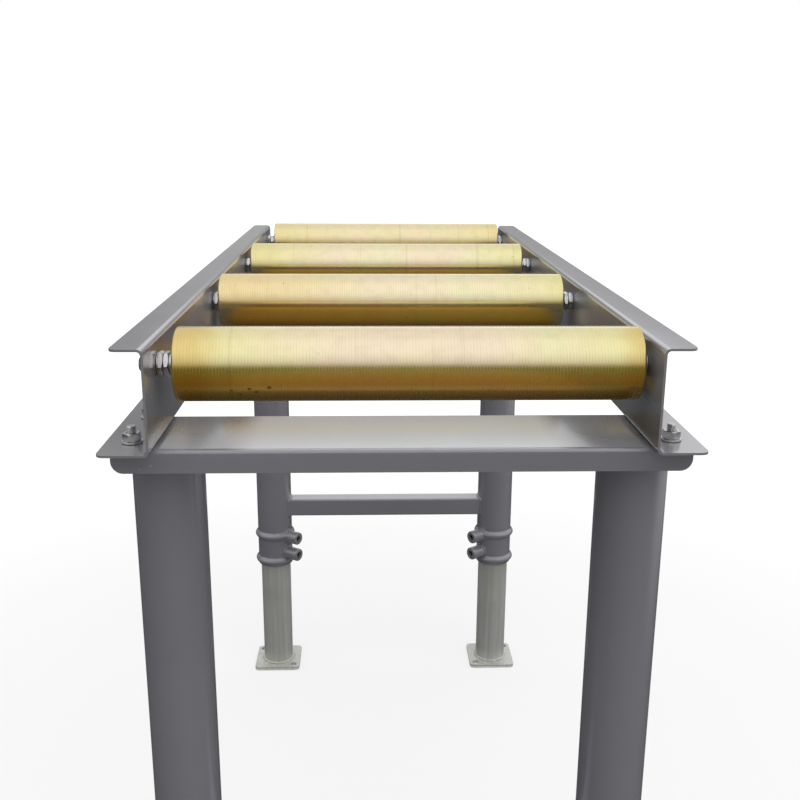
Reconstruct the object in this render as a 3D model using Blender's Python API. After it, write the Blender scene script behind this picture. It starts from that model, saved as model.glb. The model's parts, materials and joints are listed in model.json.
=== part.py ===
"""A gravity roller conveyor: four tube rollers on fixed axles between two folded side rails,
carried by a front and a rear stand with height-adjustable legs.

X runs across the conveyor, Y along it and Z up. The origin lies on the floor below its middle.
"""

import math

import bmesh
import bpy
from mathutils import Matrix

MM = 0.001

# Clearances
SEAT_GAP = 0.3 * MM
LEG_SLIDE_GAP = 0.5 * MM
BOLT_HOLE_GAP = 0.5 * MM

# Rollers, front to rear
WORKING_HEIGHT = 800 * MM
ROLLER_DIAMETER = 60 * MM
ROLLER_LENGTH = 370 * MM
ROLLER_WALL = 3 * MM
ROLLER_EDGE_RADIUS = 1.5 * MM
ROLLER_PITCH = 300 * MM
ROLLER_SIDE_PLAY = (4.5 * MM, -3.1 * MM, -2.8 * MM, 2.0 * MM)
BEARING_DIAMETER = 32 * MM
BEARING_WIDTH = 10 * MM
BEARING_RECESS = 4 * MM
BEARING_RACE = 2.4 * MM
BEARING_SHIELD_DEPTH = 0.8 * MM
BEARING_CUP_WALL = 2.5 * MM
BEARING_CUP_LIP = 3 * MM

# Axles and their nuts
AXLE_DIAMETER = 12 * MM
AXLE_END_CHAMFER = 1 * MM
AXLE_END_PAST_NUT = 4.8 * MM
AXLE_NUT_RIM = 3.5 * MM
AXLE_NUT_HEIGHT = 7 * MM
JAM_NUT_HEIGHT = 4.5 * MM
JAM_WASHER_RIM = 3 * MM
JAM_WASHER_HEIGHT = 1 * MM
SPACER_RIM = 2 * MM
SPACER_LEAST_LENGTH = 0.4 * MM

# Side rails: folded channels that open outwards
RAIL_SHEET = 2 * MM
RAIL_HEIGHT = 85 * MM
RAIL_TOP_ABOVE_AXLE = 22.5 * MM
RAIL_TOP_FLANGE = 24.5 * MM
RAIL_BOTTOM_FLANGE = 40 * MM
RAIL_BEND_RADIUS = 3 * MM
RAIL_CORNER_RADIUS = 7 * MM
RAIL_END_PAST_AXLE = 50 * MM

# Rail bolts, two through each end of each rail
RAIL_BOLT_DIAMETER = 8 * MM
RAIL_BOLT_FROM_WEB = 18.5 * MM
RAIL_BOLT_LEG_CLEARANCE = 5.5 * MM
RAIL_BOLT_HEAD_RIM = 2.5 * MM
RAIL_BOLT_HEAD_HEIGHT = 5.3 * MM
RAIL_BOLT_NUT_HEIGHT = 6.5 * MM
RAIL_BOLT_WASHER_RIM = 4.5 * MM
RAIL_BOLT_WASHER_HEIGHT = 1.6 * MM
RAIL_BOLT_END_PAST_NUT = 5.5 * MM

# Stands: a crossbar, two outer legs and a brace welded together
STAND_FROM_RAIL_END = 69.5 * MM
CROSSBAR_SHEET = 3 * MM
CROSSBAR_HEIGHT = 19.5 * MM
CROSSBAR_EDGE_PAST_BOLT = 14 * MM
CROSSBAR_END_PAST_BOLT = 15 * MM
CROSSBAR_BEND_RADIUS = 2.5 * MM
CROSSBAR_CORNER_RADIUS = 10 * MM
OUTER_LEG_DIAMETER = 60 * MM
OUTER_LEG_WALL = 3.5 * MM
OUTER_LEG_LENGTH = 504 * MM
OUTER_LEG_INSIDE_WEB = 2 * MM
BEAD_RISE = 4.5 * MM
BEAD_WIDTH = 16 * MM
BEADS_ABOVE_LEG_END = (8.5 * MM, 56 * MM)
BRACE_SIZE = 30 * MM
BRACE_WALL = 2 * MM
BRACE_CORNER_RADIUS = 3 * MM
BRACE_ABOVE_LEG_END = 106 * MM

# Leg clamps: two set screws in welded bosses on each outer leg, turned to the conveyor's middle
CLAMP_BOSS_DIAMETER = 22 * MM
CLAMP_BOSS_LENGTH = 24 * MM
CLAMP_SCREW_DIAMETER = 10 * MM
CLAMP_SCREW_SUNK = 4 * MM
CLAMP_SCREW_POINT = 1.5 * MM
CLAMP_SOCKET_FLATS = 5 * MM
CLAMP_SOCKET_DEPTH = 6 * MM
CLAMPS_ABOVE_LEG_END = {"lower": 23 * MM, "upper": 54 * MM}
CLAMP_TURN = math.radians(35)

# Inner legs and feet
INNER_LEG_WALL = 2.5 * MM
INNER_LEG_LENGTH = 440 * MM
FOOT_SIZE = 80 * MM
FOOT_THICKNESS = 6 * MM
FOOT_CORNER_RADIUS = 8 * MM
ANCHOR_HOLE_DIAMETER = 11 * MM
ANCHOR_FROM_EDGE = 11 * MM

# Facets
ROLLER_SIDES = 24
LEG_SIDES = 20
BEARING_SIDES = 12
FASTENER_SIDES = 12
ARC_STEPS = 3
BEAD_STEPS = 2

SIDES = {"left": -1, "right": 1}

# Places worked out from the sizes above
ROLLER_COUNT = len(ROLLER_SIDE_PLAY)
ROLLER_RADIUS = ROLLER_DIAMETER / 2
AXLE_RADIUS = AXLE_DIAMETER / 2
AXLE_Z = WORKING_HEIGHT - ROLLER_RADIUS
AXLE_NUT_FLATS = AXLE_DIAMETER + 2 * AXLE_NUT_RIM
BEARING_SEAT_RADIUS = BEARING_DIAMETER / 2 + SEAT_GAP
MOST_SIDE_PLAY = max(abs(play) for play in ROLLER_SIDE_PLAY)
JAM_NUTS = 2 * JAM_NUT_HEIGHT + JAM_WASHER_HEIGHT + SEAT_GAP
WEB_INNER_X = (
    ROLLER_LENGTH / 2 + MOST_SIDE_PLAY - BEARING_RECESS + SEAT_GAP + SPACER_LEAST_LENGTH + JAM_NUTS
)
WEB_OUTER_X = WEB_INNER_X + RAIL_SHEET
AXLE_HALF_LENGTH = WEB_OUTER_X + SEAT_GAP + AXLE_NUT_HEIGHT + AXLE_END_PAST_NUT
RAIL_HALF_LENGTH = (ROLLER_COUNT - 1) * ROLLER_PITCH / 2 + RAIL_END_PAST_AXLE
RAIL_TOP_Z = AXLE_Z + RAIL_TOP_ABOVE_AXLE
RAIL_BOTTOM_Z = RAIL_TOP_Z - RAIL_HEIGHT
STAND_Y = RAIL_HALF_LENGTH - STAND_FROM_RAIL_END
STANDS = {"front": -STAND_Y, "rear": STAND_Y}
CROSSBAR_TOP_Z = RAIL_BOTTOM_Z - SEAT_GAP
CROSSBAR_UNDER_Z = CROSSBAR_TOP_Z - CROSSBAR_SHEET
OUTER_LEG_RADIUS = OUTER_LEG_DIAMETER / 2
OUTER_LEG_BORE = OUTER_LEG_RADIUS - OUTER_LEG_WALL
OUTER_LEG_X = WEB_OUTER_X - OUTER_LEG_INSIDE_WEB
OUTER_LEG_TOP_Z = CROSSBAR_UNDER_Z - SEAT_GAP
OUTER_LEG_END_Z = OUTER_LEG_TOP_Z - OUTER_LEG_LENGTH
RAIL_BOLT_X = WEB_OUTER_X + RAIL_BOLT_FROM_WEB
RAIL_BOLT_Y = OUTER_LEG_RADIUS + RAIL_BOLT_LEG_CLEARANCE
RAIL_BOLT_FLATS = RAIL_BOLT_DIAMETER + 2 * RAIL_BOLT_HEAD_RIM
CROSSBAR_HALF_WIDTH = RAIL_BOLT_Y + CROSSBAR_EDGE_PAST_BOLT
CROSSBAR_HALF_LENGTH = RAIL_BOLT_X + CROSSBAR_END_PAST_BOLT
BRACE_Z = OUTER_LEG_END_Z + BRACE_ABOVE_LEG_END
INNER_LEG_RADIUS = OUTER_LEG_BORE - LEG_SLIDE_GAP
INNER_LEG_END_Z = FOOT_THICKNESS + SEAT_GAP
CLAMP_BOSS_END = OUTER_LEG_RADIUS + CLAMP_BOSS_LENGTH


def clear_scene():
    """Removes whatever the open file holds."""
    for obj in list(bpy.data.objects):
        bpy.data.objects.remove(obj)


def finish(name, colour, roughness, metallic):
    """A plain material with the piece's colour, roughness and metallic value."""
    made = bpy.data.materials.new(name)
    made.use_nodes = True
    shader = made.node_tree.nodes["Principled BSDF"]
    shader.inputs["Base Color"].default_value = (*colour, 1)
    shader.inputs["Roughness"].default_value = roughness
    shader.inputs["Metallic"].default_value = metallic
    return made


# Outlines, as lists of points in the plane


def circle(radius, sides):
    """A round ring of points."""
    turns = [2 * math.pi * k / sides for k in range(sides)]
    return [(radius * math.cos(turn), radius * math.sin(turn)) for turn in turns]


def hexagon(across_flats, sides):
    """A hexagon with as many points as a round ring; sides is a multiple of six."""
    points = []
    for k in range(sides):
        turn = 2 * math.pi * k / sides
        from_flat = turn % (math.pi / 3) - math.pi / 6
        reach = across_flats / 2 / math.cos(from_flat)
        points.append((reach * math.cos(turn), reach * math.sin(turn)))
    return points


def rounded(corners):
    """An outline through corners given as (u, v, radius), with an arc at each that has a radius."""
    points = []
    for i, (u, v, radius) in enumerate(corners):
        if not radius:
            points.append((u, v))
            continue
        before = corners[i - 1]
        after = corners[(i + 1) % len(corners)]
        back = math.atan2(before[1] - v, before[0] - u)
        ahead = math.atan2(after[1] - v, after[0] - u)
        half = (ahead - back + math.pi) % (2 * math.pi) - math.pi
        middle = back + half / 2
        centre_u = u + radius / math.sin(abs(half) / 2) * math.cos(middle)
        centre_v = v + radius / math.sin(abs(half) / 2) * math.sin(middle)
        spread = (math.pi - abs(half)) * math.copysign(1, half)
        for k in range(ARC_STEPS + 1):
            turn = middle + math.pi + spread * (0.5 - k / ARC_STEPS)
            points.append((centre_u + radius * math.cos(turn), centre_v + radius * math.sin(turn)))
    return points


def square(size, corner_radius):
    """A square about the origin with rounded corners."""
    half = size / 2
    return rounded([(u * half, v * half, corner_radius) for u, v in ((1, 1), (-1, 1), (-1, -1), (1, -1))])


# Solids


def lofted(rings, axis, closed=False):
    """A mesh through rings of equal count, each a distance along the axis and an outline.

    Open lofts get flat caps. A closed loft joins its last ring to its first, as a tube does.
    """
    mesh = bmesh.new()
    rows = []
    for along, outline in rings:
        places = {
            "X": [(along, u, v) for u, v in outline],
            "Y": [(u, along, v) for u, v in outline],
            "Z": [(u, v, along) for u, v in outline],
        }[axis]
        rows.append([mesh.verts.new(place) for place in places])
    pairs = list(zip(rows, rows[1:]))
    if closed:
        pairs.append((rows[-1], rows[0]))
    else:
        mesh.faces.new(rows[0])
        mesh.faces.new(rows[-1])
    for first, second in pairs:
        for k in range(len(first)):
            nxt = (k + 1) % len(first)
            mesh.faces.new((first[k], first[nxt], second[nxt], second[k]))
    bmesh.ops.recalc_face_normals(mesh, faces=mesh.faces)
    return mesh


def turned(profile, axis, sides, closed=False):
    """A round solid from (along, radius) points."""
    return lofted([(along, circle(radius, sides)) for along, radius in profile], axis, closed)


def several(meshes):
    """One mesh that holds each of the given ones."""
    whole = bmesh.new()
    for mesh in meshes:
        copy = bpy.data.meshes.new("copy")
        mesh.to_mesh(copy)
        mesh.free()
        whole.from_mesh(copy)
        bpy.data.meshes.remove(copy)
    return whole


def shifted(mesh, by):
    """The mesh moved by a vector."""
    bmesh.ops.translate(mesh, verts=mesh.verts, vec=by)
    return mesh


def swung(mesh, turn):
    """The mesh turned about the Z axis."""
    bmesh.ops.rotate(mesh, verts=mesh.verts, cent=(0, 0, 0), matrix=Matrix.Rotation(turn, 3, "Z"))
    return mesh


def rounded_edges(mesh, wanted, sheet, radius):
    """The mesh with an arc in place of each edge through the sheet whose two ends are both wanted."""
    edges = [
        edge
        for edge in mesh.edges
        if near(edge.calc_length(), sheet) and all(wanted(vert.co) for vert in edge.verts)
    ]
    bmesh.ops.bevel(mesh, geom=edges, offset=radius, segments=ARC_STEPS, profile=0.5, affect="EDGES")
    return mesh


def near(a, b):
    return abs(a - b) < SEAT_GAP / 10


def placed(name, mesh, material, location, parent=None):
    """A named object from the mesh, with its origin at the location."""
    data = bpy.data.meshes.new(name)
    mesh.to_mesh(data)
    mesh.free()
    data.shade_smooth()
    data.set_sharp_from_angle(angle=math.radians(35))
    data.materials.append(material)
    obj = bpy.data.objects.new(name, data)
    obj.location = location
    obj.parent = parent
    bpy.context.scene.collection.objects.link(obj)
    return obj


def helper(name, mesh, target, operation):
    """Joins a hidden mesh to the target, or cuts it out; both share one frame."""
    obj = placed(name, mesh, target.data.materials[0], target.location, target.parent)
    obj.hide_render = True
    obj.display_type = "WIRE"
    modifier = target.modifiers.new(name, "BOOLEAN")
    modifier.operation = operation
    modifier.solver = "EXACT"
    modifier.object = obj


def empty(name, location):
    """A bare reference point that pieces hang from."""
    obj = bpy.data.objects.new(name, None)
    obj.location = location
    bpy.context.scene.collection.objects.link(obj)
    return obj


# Rollers


def roller_end(toward):
    """The profile of one end, from the tube's inside to its outside, toward -1 or +1 along X.

    A pressed cup closes the tube and holds the bearing against its lip.
    """
    end = ROLLER_LENGTH / 2
    tube_bore = ROLLER_RADIUS - ROLLER_WALL
    cup_face = end - BEARING_RECESS + SEAT_GAP
    seat_end = cup_face - BEARING_WIDTH - 2 * SEAT_GAP
    cup_back = seat_end - BEARING_CUP_WALL
    cup_outside = BEARING_SEAT_RADIUS + BEARING_CUP_WALL
    lip = BEARING_SEAT_RADIUS - BEARING_CUP_LIP
    edge = ROLLER_EDGE_RADIUS
    profile = [
        (cup_face - BEARING_CUP_WALL, tube_bore),
        (cup_face - BEARING_CUP_WALL, cup_outside),
        (cup_back, cup_outside),
        (cup_back, lip),
        (seat_end, lip),
        (seat_end, BEARING_SEAT_RADIUS),
        (cup_face, BEARING_SEAT_RADIUS),
        (cup_face, tube_bore),
        (end, tube_bore),
    ]
    for k in range(ARC_STEPS):
        turn = math.pi / 2 * k / (ARC_STEPS - 1)
        profile.append((end - edge + edge * math.cos(turn), ROLLER_RADIUS - edge + edge * math.sin(turn)))
    return [(toward * along, radius) for along, radius in profile]


def make_roller(name, location, material):
    profile = roller_end(1) + roller_end(-1)[::-1]
    return placed(name, turned(profile, "X", ROLLER_SIDES, closed=True), material, location)


def make_bearing(name, parent, side, material):
    """A shielded ball bearing as one ring, with the shields set in between its two races."""
    bore = AXLE_RADIUS + SEAT_GAP
    outside = BEARING_DIAMETER / 2
    inner_race = bore + BEARING_RACE
    outer_race = outside - BEARING_RACE
    half = BEARING_WIDTH / 2
    shield = half - BEARING_SHIELD_DEPTH
    face = [
        (half, bore),
        (half, inner_race),
        (shield, inner_race),
        (shield, outer_race),
        (half, outer_race),
        (half, outside),
    ]
    profile = face + [(-along, radius) for along, radius in reversed(face)]
    middle = ROLLER_LENGTH / 2 - BEARING_RECESS - half
    mesh = turned(profile, "X", BEARING_SIDES, closed=True)
    return placed(name, mesh, material, (side * middle, 0, 0), parent)


def axle_half(side, play):
    """Rings from the shaft's middle out to one end: spacer, jam nuts, washer and threaded end."""
    shaft = circle(AXLE_RADIUS, FASTENER_SIDES)
    spacer = circle(AXLE_RADIUS + SPACER_RIM, FASTENER_SIDES)
    nut = hexagon(AXLE_NUT_FLATS, FASTENER_SIDES)
    spacer_start = ROLLER_LENGTH / 2 + side * play - BEARING_RECESS + SEAT_GAP
    nuts_start = WEB_INNER_X - JAM_NUTS
    washer = circle(AXLE_RADIUS + JAM_WASHER_RIM, FASTENER_SIDES)
    washer_end = WEB_INNER_X - SEAT_GAP
    nuts_end = washer_end - JAM_WASHER_HEIGHT
    tip = circle(AXLE_RADIUS - AXLE_END_CHAMFER, FASTENER_SIDES)
    rings = [
        (spacer_start, shaft),
        (spacer_start, spacer),
        (nuts_start, spacer),
        (nuts_start, nut),
        (nuts_end, nut),
        (nuts_end, washer),
        (washer_end, washer),
        (washer_end, shaft),
        (AXLE_HALF_LENGTH - AXLE_END_CHAMFER, shaft),
        (AXLE_HALF_LENGTH, tip),
    ]
    return [(side * along, outline) for along, outline in rings]


def make_axle(name, location, play, material):
    rings = axle_half(-1, play)[::-1] + axle_half(1, play)
    return placed(name, lofted(rings, "X"), material, location)


def make_axle_nut(name, location, side, material):
    """The outer nut, against the web's outer face."""
    inner = side * (WEB_OUTER_X + SEAT_GAP)
    outer = inner + side * AXLE_NUT_HEIGHT
    nut = hexagon(AXLE_NUT_FLATS, FASTENER_SIDES)
    bore = circle(AXLE_RADIUS + SEAT_GAP, FASTENER_SIDES)
    mesh = lofted([(inner, bore), (inner, nut), (outer, nut), (outer, bore)], "X", closed=True)
    return placed(name, mesh, material, location)


# Frame


def make_rail(name, side, material):
    """A channel folded from sheet, with its web towards the rollers and its flanges outwards."""
    sheet = RAIL_SHEET
    top = RAIL_TOP_Z
    bottom = RAIL_BOTTOM_Z
    top_tip = WEB_OUTER_X + RAIL_TOP_FLANGE
    bottom_tip = WEB_OUTER_X + RAIL_BOTTOM_FLANGE
    outer_bend = RAIL_BEND_RADIUS + sheet
    outline = rounded(
        [
            (side * top_tip, top, 0),
            (side * WEB_INNER_X, top, outer_bend),
            (side * WEB_INNER_X, bottom, outer_bend),
            (side * bottom_tip, bottom, 0),
            (side * bottom_tip, bottom + sheet, 0),
            (side * WEB_OUTER_X, bottom + sheet, RAIL_BEND_RADIUS),
            (side * WEB_OUTER_X, top - sheet, RAIL_BEND_RADIUS),
            (side * top_tip, top - sheet, 0),
        ]
    )
    mesh = lofted([(-RAIL_HALF_LENGTH, outline), (RAIL_HALF_LENGTH, outline)], "Y")

    def at_flange_corner(co):
        at_end = near(abs(co.y), RAIL_HALF_LENGTH)
        return at_end and (near(abs(co.x), top_tip) or near(abs(co.x), bottom_tip))

    mesh = rounded_edges(mesh, at_flange_corner, sheet, RAIL_CORNER_RADIUS)
    rail = placed(name, mesh, material, (0, 0, 0))
    reach = [side * (WEB_INNER_X - sheet), side * (WEB_OUTER_X + sheet)]
    hole = AXLE_RADIUS + SEAT_GAP
    axle_holes = [
        shifted(turned([(reach[0], hole), (reach[1], hole)], "X", FASTENER_SIDES), (0, y, AXLE_Z))
        for y in roller_places()
    ]
    bolt_hole = RAIL_BOLT_DIAMETER / 2 + BOLT_HOLE_GAP
    bolt_holes = [
        shifted(
            turned([(bottom - sheet, bolt_hole), (bottom + 2 * sheet, bolt_hole)], "Z", FASTENER_SIDES),
            (side * RAIL_BOLT_X, stand_y + end * RAIL_BOLT_Y, 0),
        )
        for stand_y in STANDS.values()
        for end in (-1, 1)
    ]
    helper(f"{name}_holes", several(axle_holes + bolt_holes), rail, "DIFFERENCE")
    return rail


def make_crossbar(name, stand, material):
    """A channel folded from sheet, open below, with the two legs standing inside it."""
    sheet = CROSSBAR_SHEET
    half_width = CROSSBAR_HALF_WIDTH
    top = CROSSBAR_TOP_Z
    bottom = top - CROSSBAR_HEIGHT
    outer_bend = CROSSBAR_BEND_RADIUS + sheet
    outline = rounded(
        [
            (-half_width, bottom, 0),
            (-half_width, top, outer_bend),
            (half_width, top, outer_bend),
            (half_width, bottom, 0),
            (half_width - sheet, bottom, 0),
            (half_width - sheet, top - sheet, CROSSBAR_BEND_RADIUS),
            (sheet - half_width, top - sheet, CROSSBAR_BEND_RADIUS),
            (sheet - half_width, bottom, 0),
        ]
    )
    mesh = lofted([(-CROSSBAR_HALF_LENGTH, outline), (CROSSBAR_HALF_LENGTH, outline)], "X")

    def at_lower_corner(co):
        return near(abs(co.x), CROSSBAR_HALF_LENGTH) and near(co.z, bottom)

    mesh = rounded_edges(mesh, at_lower_corner, sheet, CROSSBAR_CORNER_RADIUS)
    bar = placed(name, mesh, material, (0, 0, 0), stand)
    hole = RAIL_BOLT_DIAMETER / 2 + BOLT_HOLE_GAP
    holes = [
        shifted(turned([(top - 2 * sheet, hole), (top + sheet, hole)], "Z", FASTENER_SIDES), (x, y, 0))
        for x in (-RAIL_BOLT_X, RAIL_BOLT_X)
        for y in (-RAIL_BOLT_Y, RAIL_BOLT_Y)
    ]
    helper(f"{name}_holes", several(holes), bar, "DIFFERENCE")
    return bar


def leg_outside():
    """The outer leg's outside profile, from its lower end up, with a rolled bead at each height."""
    profile = [(0, OUTER_LEG_RADIUS)]
    for height in BEADS_ABOVE_LEG_END:
        for k in range(2 * BEAD_STEPS + 1):
            share = k / BEAD_STEPS - 1
            rise = BEAD_RISE * math.cos(share * math.pi / 2)
            profile.append((height + share * BEAD_WIDTH / 2, OUTER_LEG_RADIUS + rise))
    profile.append((OUTER_LEG_LENGTH, OUTER_LEG_RADIUS))
    return profile


def clamp_heading(stand, side):
    """The turn about Z of a leg's clamps: towards the other leg, then towards the conveyor's middle."""
    to_middle = -math.copysign(math.sin(CLAMP_TURN), stand.location.y)
    return math.atan2(to_middle, -side * math.cos(CLAMP_TURN))


def make_outer_leg(name, stand, side, material):
    """A tube with two rolled beads and two clamp bosses."""
    location = (side * OUTER_LEG_X, 0, OUTER_LEG_END_Z)
    leg = placed(name, turned(leg_outside(), "Z", LEG_SIDES), material, location, stand)
    heading = clamp_heading(stand, side)
    boss_radius = CLAMP_BOSS_DIAMETER / 2
    screw_hole = CLAMP_SCREW_DIAMETER / 2 + SEAT_GAP
    bosses = []
    screw_holes = []
    for height in CLAMPS_ABOVE_LEG_END.values():
        boss = turned([(0, boss_radius), (CLAMP_BOSS_END, boss_radius)], "X", FASTENER_SIDES)
        bosses.append(shifted(swung(boss, heading), (0, 0, height)))
        past_boss = CLAMP_BOSS_END + CLAMP_SCREW_SUNK
        cut = turned([(0, screw_hole), (past_boss, screw_hole)], "X", FASTENER_SIDES)
        screw_holes.append(shifted(swung(cut, heading), (0, 0, height)))
    helper(f"{name}_bosses", several(bosses), leg, "UNION")
    past_ends = (-OUTER_LEG_RADIUS, OUTER_LEG_LENGTH + OUTER_LEG_RADIUS)
    bore = turned([(height, OUTER_LEG_BORE) for height in past_ends], "Z", LEG_SIDES)
    helper(f"{name}_bore", bore, leg, "DIFFERENCE")
    helper(f"{name}_screw_holes", several(screw_holes), leg, "DIFFERENCE")
    return leg


def make_brace(name, stand, material):
    """A square tube whose ends are coped to the round legs."""
    outside = square(BRACE_SIZE, BRACE_CORNER_RADIUS)
    inside = square(BRACE_SIZE - 2 * BRACE_WALL, BRACE_CORNER_RADIUS - BRACE_WALL)
    rings = [
        (-OUTER_LEG_X, outside),
        (OUTER_LEG_X, outside),
        (OUTER_LEG_X, inside),
        (-OUTER_LEG_X, inside),
    ]
    brace = placed(name, lofted(rings, "X", closed=True), material, (0, 0, BRACE_Z), stand)
    cope = OUTER_LEG_RADIUS + SEAT_GAP
    copes = [
        shifted(turned([(-BRACE_SIZE, cope), (BRACE_SIZE, cope)], "Z", LEG_SIDES), (x, 0, 0))
        for x in (-OUTER_LEG_X, OUTER_LEG_X)
    ]
    helper(f"{name}_copes", several(copes), brace, "DIFFERENCE")
    return brace


def make_rail_bolt(name, stand, side, end, material):
    """A bolt up through crossbar and rail, with its washer, nut and thread end."""
    shank = circle(RAIL_BOLT_DIAMETER / 2, FASTENER_SIDES)
    hexed = hexagon(RAIL_BOLT_FLATS, FASTENER_SIDES)
    washer = circle(RAIL_BOLT_DIAMETER / 2 + RAIL_BOLT_WASHER_RIM, FASTENER_SIDES)
    head_top = CROSSBAR_UNDER_Z - SEAT_GAP
    washer_under = RAIL_BOTTOM_Z + RAIL_SHEET + SEAT_GAP
    washer_top = washer_under + RAIL_BOLT_WASHER_HEIGHT
    nut_top = washer_top + RAIL_BOLT_NUT_HEIGHT
    rings = [
        (head_top - RAIL_BOLT_HEAD_HEIGHT, hexed),
        (head_top, hexed),
        (head_top, shank),
        (washer_under, shank),
        (washer_under, washer),
        (washer_top, washer),
        (washer_top, hexed),
        (nut_top, hexed),
        (nut_top, shank),
        (nut_top + RAIL_BOLT_END_PAST_NUT, shank),
    ]
    return placed(name, lofted(rings, "Z"), material, (side * RAIL_BOLT_X, end * RAIL_BOLT_Y, 0), stand)


# Sliding legs


def make_clamp_screw(name, stand, side, height, material):
    """A set screw that bears on the inner leg, with a hexagon socket in its outer end."""
    radius = CLAMP_SCREW_DIAMETER / 2
    start = INNER_LEG_RADIUS + SEAT_GAP
    end = CLAMP_BOSS_END - CLAMP_SCREW_SUNK
    socket = hexagon(CLAMP_SOCKET_FLATS, FASTENER_SIDES)
    rings = [
        (start, circle(radius - CLAMP_SCREW_POINT, FASTENER_SIDES)),
        (start + CLAMP_SCREW_POINT, circle(radius, FASTENER_SIDES)),
        (end, circle(radius, FASTENER_SIDES)),
        (end, socket),
        (end - CLAMP_SOCKET_DEPTH, socket),
    ]
    mesh = swung(lofted(rings, "X"), clamp_heading(stand, side))
    return placed(name, mesh, material, (side * OUTER_LEG_X, 0, OUTER_LEG_END_Z + height), stand)


def make_inner_leg(name, stand, side, material):
    """A plain tube that slides in the outer leg."""
    inside = INNER_LEG_RADIUS - INNER_LEG_WALL
    ends = (INNER_LEG_END_Z, INNER_LEG_END_Z + INNER_LEG_LENGTH)
    outside_run = [(end, INNER_LEG_RADIUS) for end in ends]
    inside_run = [(end, inside) for end in reversed(ends)]
    mesh = turned(outside_run + inside_run, "Z", LEG_SIDES, closed=True)
    return placed(name, mesh, material, (side * OUTER_LEG_X, 0, 0), stand)


def make_foot_plate(name, stand, side, material):
    """A flat plate with two anchor holes on a diagonal."""
    outline = square(FOOT_SIZE, FOOT_CORNER_RADIUS)
    mesh = lofted([(0, outline), (FOOT_THICKNESS, outline)], "Z")
    foot = placed(name, mesh, material, (side * OUTER_LEG_X, 0, 0), stand)
    place = FOOT_SIZE / 2 - ANCHOR_FROM_EDGE
    hole = ANCHOR_HOLE_DIAMETER / 2
    holes = [
        shifted(
            turned([(-FOOT_THICKNESS, hole), (2 * FOOT_THICKNESS, hole)], "Z", FASTENER_SIDES),
            (end * side * place, end * place, 0),
        )
        for end in (-1, 1)
    ]
    helper(f"{name}_holes", several(holes), foot, "DIFFERENCE")
    return foot


# Assembly


def roller_places():
    """Where the axles lie along Y, front to rear."""
    return [(i - (ROLLER_COUNT - 1) / 2) * ROLLER_PITCH for i in range(ROLLER_COUNT)]


def build_rollers(zinc, steel, bright):
    for i, y in enumerate(roller_places()):
        play = ROLLER_SIDE_PLAY[i]
        roller = make_roller(f"roller_{i + 1}", (play, y, AXLE_Z), zinc)
        make_axle(f"axle_{i + 1}", (0, y, AXLE_Z), play, bright)
        for side_name, side in SIDES.items():
            make_bearing(f"bearing_{i + 1}_{side_name}", roller, side, steel)
            make_axle_nut(f"axle_nut_{i + 1}_{side_name}", (0, y, AXLE_Z), side, bright)


def build_stand(stand_name, paint, galvanised, bright, dark):
    stand = empty(f"{stand_name}_stand", (0, STANDS[stand_name], 0))
    make_crossbar(f"{stand_name}_crossbar", stand, paint)
    make_brace(f"{stand_name}_brace", stand, paint)
    for side_name, side in SIDES.items():
        where = f"{stand_name}_{side_name}"
        make_outer_leg(f"outer_leg_{where}", stand, side, paint)
        make_inner_leg(f"inner_leg_{where}", stand, side, galvanised)
        make_foot_plate(f"foot_plate_{where}", stand, side, galvanised)
        for clamp_name, height in CLAMPS_ABOVE_LEG_END.items():
            make_clamp_screw(f"clamp_screw_{where}_{clamp_name}", stand, side, height, dark)
        for end_name, end in (("near", -1), ("far", 1)):
            make_rail_bolt(f"rail_bolt_{where}_{end_name}", stand, side, end, bright)


def main():
    clear_scene()
    paint = finish("grey_paint", (0.16, 0.15, 0.16), 0.35, 0.0)
    zinc = finish("yellow_zinc", (0.72, 0.62, 0.42), 0.25, 1.0)
    steel = finish("bearing_steel", (0.55, 0.55, 0.56), 0.3, 1.0)
    bright = finish("bright_zinc", (0.75, 0.75, 0.76), 0.25, 1.0)
    galvanised = finish("galvanised_tube", (0.42, 0.44, 0.43), 0.45, 1.0)
    dark = finish("black_steel", (0.04, 0.04, 0.04), 0.4, 1.0)
    for side_name, side in SIDES.items():
        make_rail(f"side_rail_{side_name}", side, paint)
    build_rollers(zinc, steel, bright)
    for stand_name in STANDS:
        build_stand(stand_name, paint, galvanised, bright, dark)


main()
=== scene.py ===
# %% [markdown]
# # Dressing a roller conveyor
#
# A gravity roller conveyor: four zinc-plated tube rollers turn on fixed axles between two folded
# rails, and two welded stands with telescopic legs carry them. The CAD model already holds every
# size and every joint. Here each of its solids gets a finer surface, with the small radii, threads
# and welds that catch the light, and then its paint or plating.

# %% Load the frame
import json
import math

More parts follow.
